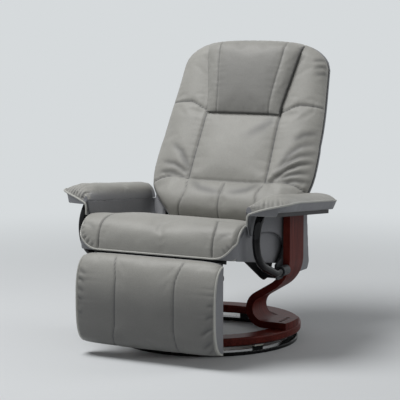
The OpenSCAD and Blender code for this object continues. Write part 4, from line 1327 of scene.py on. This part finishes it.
class RECLINER_OT_arm_panels(bpy.types.Operator):
    """Makes the leather side panels of the arms and their piping"""

    bl_idname = "recliner.arm_panels"
    bl_label = "Arm panels"

    piping_radius = 2.4
    # Middle plane, half thickness and top of the panel
    middle, half_thick, top = 286.25, 4.1, 12.1

    def execute(self, context):
        panel = self.cover()
        x = settings().arm.inner * 1000 + 3.5
        front = [(x, -297, 442), (x, -292, 428), (x, -286, 410), (x, -278, 394)]
        front = softened(along(front, 60), 4)
        painted_shade_leather = leather_finish("bonded_leather_painted_shade")
        piping = welt("arm_panel_piping_right", UPRIGHT.out(front), self.piping_radius, painted_shade_leather)
        left = mirrored(panel, "arm_panel_cover_left")
        left_piping = mirrored(piping, "arm_panel_piping_left")
        finish_piece(panel, "turntable", ["arm_panel_right"])
        finish_piece(left, "turntable", ["arm_panel_left"])
        finish_piece(piping, "turntable")
        finish_piece(left_piping, "turntable")
        return {"FINISHED"}

    def outline(self):
        """The panel's front and arched lower edge in the plane of y and z."""
        path = [(-300, 476), (-300, 468), (-290, 433), (-279, 398)]
        for degrees in range(0, 85, 12):
            turn = math.radians(degrees)
            path.append((-196 + 172 * math.sin(turn), 321 + 75 * math.cos(turn)))
        return path + [(-27, 286), (-27, 262)]

    def cover(self):
        """The CAD panel, remeshed and padded out a little between its edges."""
        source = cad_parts["arm_panel_right"]
        made = bpy.data.objects.new("arm_panel_cover_right", source.data.copy())
        bpy.context.scene.collection.objects.link(made)
        even = made.modifiers.new("Even", "REMESH")
        even.mode = "VOXEL"
        even.voxel_size = 0.004
        smooth = made.modifiers.new("Smooth", "SMOOTH")
        smooth.factor = 0.5
        smooth.iterations = 4
        keep_shape(made)
        made.data.materials.clear()
        made.data.materials.append(leather_finish("bonded_leather_painted_shade"))
        # The upper edge stays square, so that the pad sits on it without a groove
        flat = ARM.back_in(points_of(made))
        side = flat[:, 0] - self.middle
        wider = np.sign(side) * self.half_thick - side
        flat[:, 0] += ease(flat[:, 2], 6.5, 9.5) * (np.abs(side) > 1.2) * wider
        flat[:, 2] = np.where(flat[:, 2] > 10, self.top, flat[:, 2])
        put_points(made, ARM.out(flat))
        sew(made, UPRIGHT, self.seams)
        return made

    def seams(self, p):
        """Hide drawn round the panel's edges, with an arched tuck behind the tube."""
        y, z = p[:, 1], p[:, 2]
        flat = np.column_stack([y, z])
        # Small pleats all along the outline, about 11 mm wide
        pleats = 36.8421
        off, share, _ = distance_to_path(flat, self.outline())
        depth = -0.6 * ease(off, 2, 14) + gathers(share * pleats, off, 1, 1.2, 18, 0.4)
        # Painted shade along the outline and in the tuck
        dark = 0.75 * bump_at(off, 4.5)
        tuck = [(-262, 420), (-236, 405), (-190, 399), (-140, 380), (-100, 345)]
        more, shade = fold(flat, tuck, 0.9, 4)
        depth += 0.6 * np.sin(y / 31 + 1) * np.sin(z / 23) + more
        return depth * 0.8, np.maximum(dark, shade)


# Footrest


class RECLINER_OT_footrest(bpy.types.Operator):
    """Makes the footrest's pad with its curved seams and piping"""

    bl_idname = "recliner.footrest"
    bl_label = "Footrest"

    # The board's face, on which the pad lies
    rear = -375.3
    # Thickness at the two sides
    edge_thick = 62
    # How far the two sides fall short of the middle at the bottom and at the top
    side_rise, side_drop = 6, 14

    def execute(self, context):
        take_sizes(self, settings().foot)
        across = steps(-self.half_width, self.half_width, 7.2)
        count = 48
        top = np.array([self.over(x, count) for x in across])
        base = np.array([self.under(x, count) for x in across])
        pad = stuffed_shell(
            "foot_pad_cover",
            UPRIGHT.out(top),
            UPRIGHT.out(base),
            leather_finish("bonded_leather_face"),
            leather_finish("bonded_leather_painted_shade"),
            rows=6,
        )
        swell(pad, self.held(UPRIGHT.back_in(points_of(pad))), pressure=2.0, cap_mm=9, grow=0.002)
        rim = points_of(pad)[: len(across) * count].reshape(top.shape)
        subdivide(pad)
        sew(pad, UPRIGHT, self.seams)
        finish_piece(pad, "footrest", ["foot_pad"])
        for name, edge in (("foot_piping_left", rim[0]), ("foot_piping_right", rim[-1])):
            path = softened(along(edge, 110), 3)
            finish_piece(light_piping(name, path), "footrest")
        return {"FINISHED"}

    def section(self, x):
        """Fullness, lower edge and upper edge at a place across the pad."""
        full = math.sqrt(max(0.0, 1 - min(1.0, abs(x) / self.half_width) ** 7))
        return full, self.low + self.side_rise * (1 - full), self.high - self.side_drop * (1 - full)

    def over(self, x, count):
        """The face: rolled at the top and square-shouldered below; a plain oval at the two sides."""
        full, low, high = self.section(x)
        swelling = 6
        thick = self.edge_thick + (self.thickness - self.edge_thick - swelling) * full
        q = 0.7 * np.sin(np.radians(90) * np.linspace(-1, 1, count)) + 0.3 * np.linspace(-1, 1, count)
        power = np.where(q > 0, blend_of(3.0, 2.3, full), blend_of(3.2, 8.0, full))
        deep = 7 + (thick - 7) * np.sqrt(np.maximum(0, 1 - np.abs(q) ** power))
        z = blend_of(low, high, (q + 1) / 2)
        path = softened(along(np.column_stack([-deep, z]), count), 1)
        return np.column_stack([np.full(count, x), self.rear + path[:, 0], path[:, 1]])

    def under(self, x, count):
        """The flat side on the board."""
        low, high = self.section(x)[1:]
        z = np.linspace(low + 2, high - 1, count)
        return np.column_stack([np.full(count, x), np.full(count, self.rear), z])

    def seam_at(self, z):
        """The two seams spread as they go over the top and, less, under the bottom."""
        return 104 + 19 * ease(z, 250, 345) + 10 * (1 - ease(z, 40, 130))

    def held(self, p):
        """What the swelling leaves in place: the boxing's edge, the side on the board and the seams."""
        x, y, z = np.abs(p[:, 0]), p[:, 1], p[:, 2]
        side = ease(x, self.half_width - 6, self.half_width - 1)
        base = ease(y, self.rear - 14, self.rear - 3)
        seam = 0.96 * bump_at(x - self.seam_at(z), 5) * ease(self.rear - y, 20, 40)
        return np.maximum.reduce([side, base, seam])

    def seams(self, p):
        """The two upright seams, and folds pulled in from the piping on both sides."""
        x, y, z = p[:, 0], p[:, 1], p[:, 2]
        deep = seam_depth()
        front = ease(self.rear - y, 14, 30) * (np.abs(x) < self.half_width - 4)
        away = np.abs(x) - self.seam_at(z)
        depth = deep * 0.6 * bump_at(away, 3.4) * front
        # Painted shade down in the seams and, below, in the folds
        dark = 0.75 * bump_at(away, 1.9) * front
        depth += front * gathers(z, np.abs(away), 19, 0.7, 14, 0.3)
        off = self.half_width - np.abs(x)
        uneven = 0.7 + 0.3 * np.sin(z / 41 + 2)
        depth += front * gathers(z + 7 * np.sign(x), off, 25, 3.4, 30, 1.4) * uneven
        depth += front * 0.5 * np.sin(x / 39 + 0.4) * np.sin(z / 47)
        for path, how, wide in self.folds():
            more, shade = fold(np.column_stack([x, z]), path, how, wide)
            depth += more * front
            dark = np.maximum(dark, 0.75 * shade * front)
        # Painted shade: the lower half of the face is painted darker towards the floor
        painted_low_shade = 0.61 * (1 - ease(z, 150, 320)) * front
        return depth, 1 - (1 - dark) * (1 - painted_low_shade)

    def folds(self):
        """Folds at the right-hand piping, then at the left: (path of x and z, depth, half width)."""
        return [
            ([(243, 96), (226, 84), (206, 66)], 4.2, 6),
            ([(243, 134), (224, 126), (202, 108)], 4.2, 6),
            ([(243, 70), (228, 56), (214, 46)], 3.0, 5),
            ([(243, 170), (230, 167), (218, 160)], 2.6, 5),
            ([(243, 204), (232, 203), (222, 199)], 2.0, 5),
            ([(-243, 282), (-228, 272), (-214, 262)], 2.6, 6),
            ([(-243, 254), (-228, 246), (-214, 236)], 2.8, 6),
            ([(-243, 222), (-228, 216), (-216, 208)], 2.2, 6),
            ([(-243, 190), (-230, 186), (-220, 180)], 1.8, 6),
            ([(-243, 140), (-230, 140), (-220, 138)], 1.8, 6),
        ]


# Back


# Heights along the back's slope: its lower edge, and the grid rows beside its two cross seams
BACK_LOW = -146
LUMBAR_ROW, SHOULDER_ROW = -6, 286


def back_half(v, half):
    """Half width of the back at a height along its slope."""
    heights = (-160, -146, -120, -95, -71, -50, -35, -22, -8, 12, 40, 80, 130, 150)
    widths = (176, 186, 209, 236, 259, 274, 284, 290, 293, 297, 300, 300, 298, 295)
    low = np.interp(v, heights, widths) * half / 295
    high = blend_of(half, half - 24, ease(v, 150, 512)) - 7 * ease(v, 430, 515)
    return np.where(np.asarray(v) < 150, low, high)


def back_bend(v):
    """The upper back bends forwards."""
    return -0.000268 * np.maximum(0, np.asarray(v, float) - 174) ** 2


def back_edge(u, top):
    """The arched top edge."""
    return top - 16 * np.abs(u) ** 2 - 80 * (1 - np.sqrt(1 - np.minimum(np.abs(u), 1) ** 4))


def lumbar_line(x):
    """Height of the lower cross seam."""
    a = np.abs(x)
    return -10 + 11 * bump_at(a - 195, 50) - 14 * ease(a, 240, 300)


def shoulder_line(x):
    """Height of the upper cross seam on each side of the pillow."""
    return 286 - 27 * (1 - ease(np.abs(x), 136, 214))


def column_line(v):
    """Distance from the middle to the upright seams."""
    return 140 + 5 * (1 - ease(v, 0, 250))


def padding_depth(u, v, half, top, thick, soft=0.0):
    """Depth of the padding in front of the board; soft leaves room for the swelling."""
    x = u * back_half(v, half)
    rim = np.sqrt(np.maximum(0, 1 - np.abs(u) ** 6))
    ends = np.sqrt(ease(v, -158, -112)) * np.sqrt(ease(back_edge(u, top) - v, -10, 46))
    lumbar = 26 * bump_at(v + 88, 56)
    middle = 7 * bump_at(v - 110, 74) * (1 - ease(np.abs(x), 96, 150))
    under = 4 * ease(v, 214, 250) * (1 - ease(np.abs(x), 146, 182))
    return 8 + (thick - 8 + lumbar + middle - under - soft) * rim * ends


class RECLINER_OT_back(bpy.types.Operator):
    """Makes the back cushion, its seams and folds, and the piping round the back"""

    bl_idname = "recliner.back"
    bl_label = "Back cushion"

    # Shares of the grid at which its lines meet the two cross seams and the upright seams
    lumbar_share, shoulder_share, column_share = 0.2, 0.61, 0.455
    # Height of the point from which the piping is set outwards
    middle = 190.0

    def execute(self, context):
        take_sizes(self, settings().back)
        across = np.concatenate(
            [steps(-1, -0.47, 0.026), steps(-0.44, 0.44, 0.027), steps(0.47, 1, 0.026)]
        )
        up = np.concatenate(
            [
                steps(0, 0.19, 0.0125),
                steps(self.lumbar_share, 0.6, 0.0125),
                steps(self.shoulder_share, 0.96, 0.0125),
                steps(0.967, 1, 0.009),
            ]
        )
        c, g = np.meshgrid(across, up, indexing="ij")
        u, v = self.spread(c, g)
        x = u * back_half(v, self.half_width)
        deep = padding_depth(u, v, self.half_width, self.top, self.padding, soft=7)
        top = np.stack([x, back_bend(v) - deep, v], -1)
        base = np.stack([x, back_bend(v) - 0.3, v], -1)
        cushion = stuffed_shell(
            "back_cushion_cover",
            BACK.out(top),
            BACK.out(base),
            leather_finish("bonded_leather_face"),
            rows=2,
        )
        swell(cushion, self.held(BACK.back_in(points_of(cushion))), pressure=3.0, cap_mm=14, grow=0.004)
        rim = BACK.out(base)
        subdivide(cushion)
        sew(cushion, BACK, self.seams)
        finish_piece(cushion, "back", ["back_cushion"])
        edge = np.concatenate([rim[0], rim[1:, -1], rim[-1, ::-1][1:], rim[::-1, 0][1:-1]])
        # The piping lies just behind the cushion's rim and a little outside it
        behind, outside = 3.5, 1.2
        laid = BACK.back_in(edge)
        laid[:, 1] += behind
        out = laid - (0, 0, self.middle)
        out[:, 1] = 0
        laid += out / np.maximum(np.linalg.norm(out, axis=1, keepdims=True), 1e-6) * outside
        loop = along(np.concatenate([laid, laid[:1]]), 480)[:-1]
        piping = welt(
            "back_piping",
            BACK.out(loop),
            settings().leather.piping_radius * 1000,
            leather_finish("bonded_leather_painted_shade"),
            closed=True,
        )
        finish_piece(piping, "back")
        return {"FINISHED"}

    def spread(self, c, g):
        """Grid lines that follow the upright and cross seams."""
        one, two = self.lumbar_share, self.shoulder_share
        v = np.where(
            g < two,
            blend_of(LUMBAR_ROW, SHOULDER_ROW, (g - one) / (two - one)),
            blend_of(SHOULDER_ROW, back_edge(c, self.top), (g - two) / (1 - two)),
        )
        v = np.where(g < one, blend_of(BACK_LOW, LUMBAR_ROW, g / one), v)
        wide = back_half(v, self.half_width)
        seam = column_line(v)
        part = self.column_share
        x = np.where(
            np.abs(c) < part,
            c / part * seam,
            np.sign(c) * (seam + (np.abs(c) - part) / (1 - part) * (wide - seam)),
        )
        return x / wide, v

    def held(self, p):
        """What the swelling leaves in place: the rim, the base and every sewn seam."""
        x, d, v = p[:, 0], back_bend(p[:, 2]) - p[:, 1], p[:, 2]
        wide = back_half(v, self.half_width)
        u = np.abs(x) / wide
        rim = ease(u, 0.972, 0.995)
        base = 1 - ease(d, 1, 7)
        edge = back_edge(u, self.top)
        ends = np.maximum(1 - ease(v, BACK_LOW + 2, BACK_LOW + 12), ease(v, edge - 8, edge))
        column = 0.95 * bump_at(np.abs(x) - column_line(v), 5) * ease(v, -4, 4) * (1 - ease(v, 250, 275))
        lumbar = 0.95 * bump_at(v - lumbar_line(x), 5)
        upper = 0.9 * bump_at(v - shoulder_line(x), 5) * ease(np.abs(x), 136, 150)
        pillow = ease(v, 215, 250) * (1 - ease(np.abs(x), 150, 175)) * 0.8
        return np.maximum.reduce([rim, base, ends, column, lumbar, upper, pillow])

    def seams(self, p):
        """The upright seams, the two cross seams, the short ones below, and the worn hide's folds."""
        x, v = p[:, 0], p[:, 2]
        a = np.abs(x)
        front = ease(back_bend(v) - p[:, 1], 6, 16)
        deep = seam_depth()
        column = np.abs(a - column_line(v))
        live = ease(v, -12, 0) * (1 - ease(v, 262, 280))
        depth = deep * bump_at(column, 4.4) * live
        # Painted shade down in the seams, here and below, and in the folds
        dark = 0.85 * bump_at(column, 2.0) * live
        depth += gathers(v, column, 26, 1.6, 17, 0.9) * live
        side = ease(a, 138, 148)
        lower = np.abs(v - lumbar_line(x))
        depth += deep * bump_at(lower, 4.6)
        dark = np.maximum(dark, (0.35 + 0.5 * side) * bump_at(lower, 2.1))
        depth += gathers(x, lower, 31, 1.4, 22, 2.6)
        upper = np.abs(v - shoulder_line(x))
        depth += 0.85 * deep * bump_at(upper, 4.4) * side
        dark = np.maximum(dark, 0.85 * bump_at(upper, 2.0) * side)
        depth += side * gathers(a, upper, 22, 1.6, 16, 4.1)
        # Below the cross seam: a middle seam, and two that draw in and out again
        under = 1 - ease(v, -22, -14)
        for line in (np.abs(x), np.abs(a - 143 + 9 * np.cos((v + 60) / 28))):
            depth += 0.7 * deep * bump_at(line, 4.2) * under
            dark = np.maximum(dark, 0.6 * bump_at(line, 2.0) * under)
        flat = np.column_stack([x, v])
        for path, how, wide in self.folds():
            more, shade = fold(flat, path, how, wide)
            depth += more
            dark = np.maximum(dark, shade)
        # Short tucks pulled in by the piping at the shoulders and the sides
        edge = back_half(v, self.half_width) - a
        depth += gathers(v, edge, 21, 1.3, 18, 3.3) * ease(v, -60, 20)
        crown = back_edge(a / back_half(v, self.half_width), self.top) - v
        depth += gathers(x, crown, 23, 1.2, 18, 5.2)
        depth += 0.6 * np.sin(x / 47 + 0.3) * np.sin(v / 58 + 1.1)
        return depth * front, dark * front

    def folds(self):
        """Creases of the worn hide: (path, depth, half width), the deep one on the right bolster first."""
        return [
            ([(158, -8), (184, 18), (218, 46), (254, 66), (290, 78)], 8.0, 7),
            ([(176, 26), (206, 64), (246, 96), (292, 112)], 4.0, 9),
            ([(182, 44), (206, 92), (244, 134), (290, 154)], 2.6, 11),
            ([(186, 10), (226, 24), (262, 36), (292, 40)], 4.4, 7),
            ([(200, 0), (240, 6), (292, 8)], 3.6, 7),
            ([(214, 150), (246, 176), (290, 190)], 1.8, 10),
            ([(-144, 2), (-172, 26), (-212, 44), (-262, 52)], 3.4, 9),
            ([(-146, 14), (-166, 52), (-196, 92), (-238, 120)], 2.6, 11),
            ([(-160, 0), (-206, 12), (-268, 14)], 2.4, 8),
            ([(284, 466), (254, 456), (226, 446)], 2.0, 7),
            ([(292, 444), (262, 430), (234, 422)], 2.4, 7),
            ([(294, 420), (266, 406), (244, 398)], 1.8, 7),
            ([(-128, -14), (-84, -46), (-26, -58), (10, -56)], 1.2, 13),
            ([(128, -14), (92, -44), (50, -56), (24, -56)], 1.2, 13),
            ([(126, 236), (90, 196), (40, 160)], 0.8, 18),
        ]


class RECLINER_OT_back_cover(bpy.types.Operator):
    """Makes the rounded leather cover on the rear of the back"""

    bl_idname = "recliner.back_cover"
    bl_label = "Rear cover"

    def execute(self, context):
        take_sizes(self, settings().back)
        across = np.sin(np.radians(90) * np.linspace(-1, 1, 64))
        up = np.linspace(0, 1, 80)
        u, f = np.meshgrid(across, up, indexing="ij")
        v = blend_of(BACK_LOW, back_edge(u, self.top), f)
        wide = np.interp(v, (-146, -120, -92, -62, -38, -24, -10), (236, 264, 275, 278, 279.5, 283, 0))
        x = u * np.maximum(np.where(v < -20, wide, 0), back_half(v, self.half_width) - 1)
        ends = np.sqrt(ease(v, -166, -66)) * np.sqrt(ease(back_edge(u, self.top) - v, -10, 90))
        depth = 5 + (self.rear - 5) * np.maximum(0, 1 - np.abs(u) ** 3) ** 0.6 * ends
        # Room inside for the two steel arms that carry the back
        arm_x = 221.5
        slot = 15 * ease(-np.abs(np.abs(x) - arm_x), -9, -4.5) * (1 - ease(v, 146, 158))
        inner = back_bend(v) + 10.2 + np.minimum(slot, depth - 3)
        outer = np.stack([x, back_bend(v) + 10 + depth, v], -1)
        cover = stuffed_shell(
            "back_rear_cover",
            BACK.out(outer),
            BACK.out(np.stack([x, inner, v], -1)),
            leather_finish("bonded_leather_painted_shade"),
            rows=2,
        )
        subdivide(cover)
        sew(cover, BACK, self.seams)
        finish_piece(cover, "back", ["back_shell"])
        # The leather is drawn over the board's edge, so no ply shows between cushion and cover
        give_finish(["back_board"], leather_finish("bonded_leather_painted_shade"))
        return {"FINISHED"}

    def seams(self, p):
        """A cross seam low on the rear, tucks at the rim and a little slack."""
        x, v = p[:, 0], p[:, 2]
        out = ease(p[:, 1] - back_bend(v), 12, 17)
        line = np.abs(v + 30)
        depth = 2.4 * bump_at(line, 3.6) + gathers(x, line, 24, 1.0, 16, 0.8)
        edge = back_half(v, self.half_width) - np.abs(x)
        depth += gathers(v, edge, 23, 1.5, 20, 1.2)
        depth += 0.8 * np.sin(x / 53) * np.sin(v / 61)
        # The second value is painted shade down in the cross seam
        return depth * out, 0.6 * bump_at(line, 2.0) * out


def pillow_half(v):
    """Half width of the pillow at a height along the back."""
    return blend_of(138, 184, ease(v, 212, 562))


def pillow_seam(v):
    """Distance from the middle to the pillow's two upright seams."""
    return 99 + 24 * ease(v, 250, 500)


class RECLINER_OT_pillow(bpy.types.Operator):
    """Makes the head pillow"""

    bl_idname = "recliner.pillow"
    bl_label = "Head pillow"

    # Height of its lower edge along the back's slope
    low = 246

    def execute(self, context):
        take_sizes(self, settings().back)
        across = np.sin(np.radians(82) * np.linspace(-1, 1, 54)) / math.sin(math.radians(82))
        up = 0.5 - 0.5 * np.cos(np.pi * (0.06 + 0.88 * np.linspace(0, 1, 40)))
        up = (up - up[0]) / (up[-1] - up[0])
        u, f = np.meshgrid(across, up, indexing="ij")
        v = blend_of(self.low, back_edge(0.62 * u, self.top) - 9, f)
        x = u * pillow_half(v)
        # Fullest two thirds of the way up, so that its lower half leans over
        full = 0.55 + 0.45 * np.sin(np.radians(90) * np.minimum(1, f / 0.66))
        ends = np.maximum(0, 1 - np.abs(2 * f - 1) ** 5) ** 0.45
        dome = full * np.sqrt(np.maximum(0, 1 - np.abs(u) ** 5)) * ends
        # It is sunk a little into the padding that it lies on
        sunk, swelling = 3.2, 4
        share = x / back_half(v, self.half_width)
        padding = padding_depth(share, v, self.half_width, self.top, self.padding)
        behind = back_bend(v) - padding + sunk
        top = np.stack([x, behind - 1.5 - (self.pillow - swelling) * dome, v], -1)
        pillow = stuffed_shell(
            "head_pillow_cover",
            BACK.out(top),
            BACK.out(np.stack([x, behind, v], -1)),
            leather_finish("bonded_leather_face"),
        )
        grid = x.size
        hold = np.zeros(len(pillow.data.vertices))
        hold[grid : 2 * grid] = 1
        sewn = 0.9 * bump_at(np.abs(x) - pillow_seam(v), 4)
        hold[:grid] = np.maximum(1 - ease(dome, 0.05, 0.4), sewn).ravel()
        swell(pillow, hold, pressure=2.5, cap_mm=10, grow=0.003)
        subdivide(pillow)
        sew(pillow, BACK, self.seams)
        finish_piece(pillow, "back", ["head_pillow"])
        return {"FINISHED"}

    def seams(self, p):
        """The two upright seams, and small gathers along them and round the edge."""
        x, v = p[:, 0], p[:, 2]
        deep = seam_depth()
        past = np.abs(x) - pillow_seam(v)
        flank = np.abs(past)
        depth = 0.55 * deep * bump_at(flank, 3.6)
        # Painted shade down in the seams
        dark = 0.7 * bump_at(flank, 1.9)
        depth += gathers(v, flank, 23, 1.2, 14, 1.7)
        edge = pillow_half(v) - np.abs(x)
        depth += gathers(v, edge, 18, 1.2, 17, 2.9)
        low = np.abs(v - self.low)
        depth += gathers(x, low, 25, 1.0, 18, 0.2)
        depth += 0.4 * np.sin(x / 33 + 0.8) * np.sin(v / 39)
        # Painted shade along the pillow's edges and its lower edge
        dark = np.maximum(dark, 0.8 * bump_at(np.minimum(edge, low + 0.6), 2.8))
        # Painted shade: the pillow is painted darker towards its lower part, most between the two seams
        between = 1 - ease(past, -14, 2)
        painted_pillow_shade = 0.04 + 0.33 * (1 - ease(v, 370, 560)) * (0.3 + 0.7 * between)
        return depth, 1 - (1 - dark) * (1 - painted_pillow_shade)


# Panel and run


class RECLINER_PT_pieces(bpy.types.Panel):
    """Lists the recliner's pieces and sizes"""

    bl_idname = "RECLINER_PT_pieces"
    bl_label = "Swivel recliner"
    bl_space_type = "VIEW_3D"
    bl_region_type = "UI"
    bl_category = "Recliner"

    def draw(self, context):
        layout = self.layout
        values = settings()
        for group in (values.leather, values.seat, values.arm, values.back, values.foot, values.stage):
            box = layout.box()
            for name in group.__annotations__:
                box.prop(group, name)
        for piece in PIECES:
            layout.operator(piece.bl_idname)


PIECES = (
    RECLINER_OT_stage,
    RECLINER_OT_wood,
    RECLINER_OT_steel,
    RECLINER_OT_boards,
    RECLINER_OT_seat,
    RECLINER_OT_arms,
    RECLINER_OT_arm_panels,
    RECLINER_OT_footrest,
    RECLINER_OT_back,
    RECLINER_OT_back_cover,
    RECLINER_OT_pillow,
)
GROUPS = (
    LeatherSettings,
    SeatSettings,
    ArmSettings,
    BackSettings,
    FootSettings,
    StageSettings,
    ReclinerSettings,
)


def register():
    for made in GROUPS + PIECES + (RECLINER_PT_pieces,):
        bpy.utils.register_class(made)
    bpy.types.Scene.swivel_recliner = PointerProperty(type=ReclinerSettings)


def unregister():
    del bpy.types.Scene.swivel_recliner
    for made in reversed(GROUPS + PIECES + (RECLINER_PT_pieces,)):
        bpy.utils.unregister_class(made)


def main():
    """Makes the whole recliner."""
    register()
    bpy.ops.recliner.stage()
    bpy.ops.recliner.wood()
    bpy.ops.recliner.steel()
    bpy.ops.recliner.boards()
    bpy.ops.recliner.seat()
    bpy.ops.recliner.arms()
    bpy.ops.recliner.arm_panels()
    bpy.ops.recliner.footrest()
    bpy.ops.recliner.back()
    bpy.ops.recliner.back_cover()
    bpy.ops.recliner.pillow()


if __name__ == "__main__":
    main()
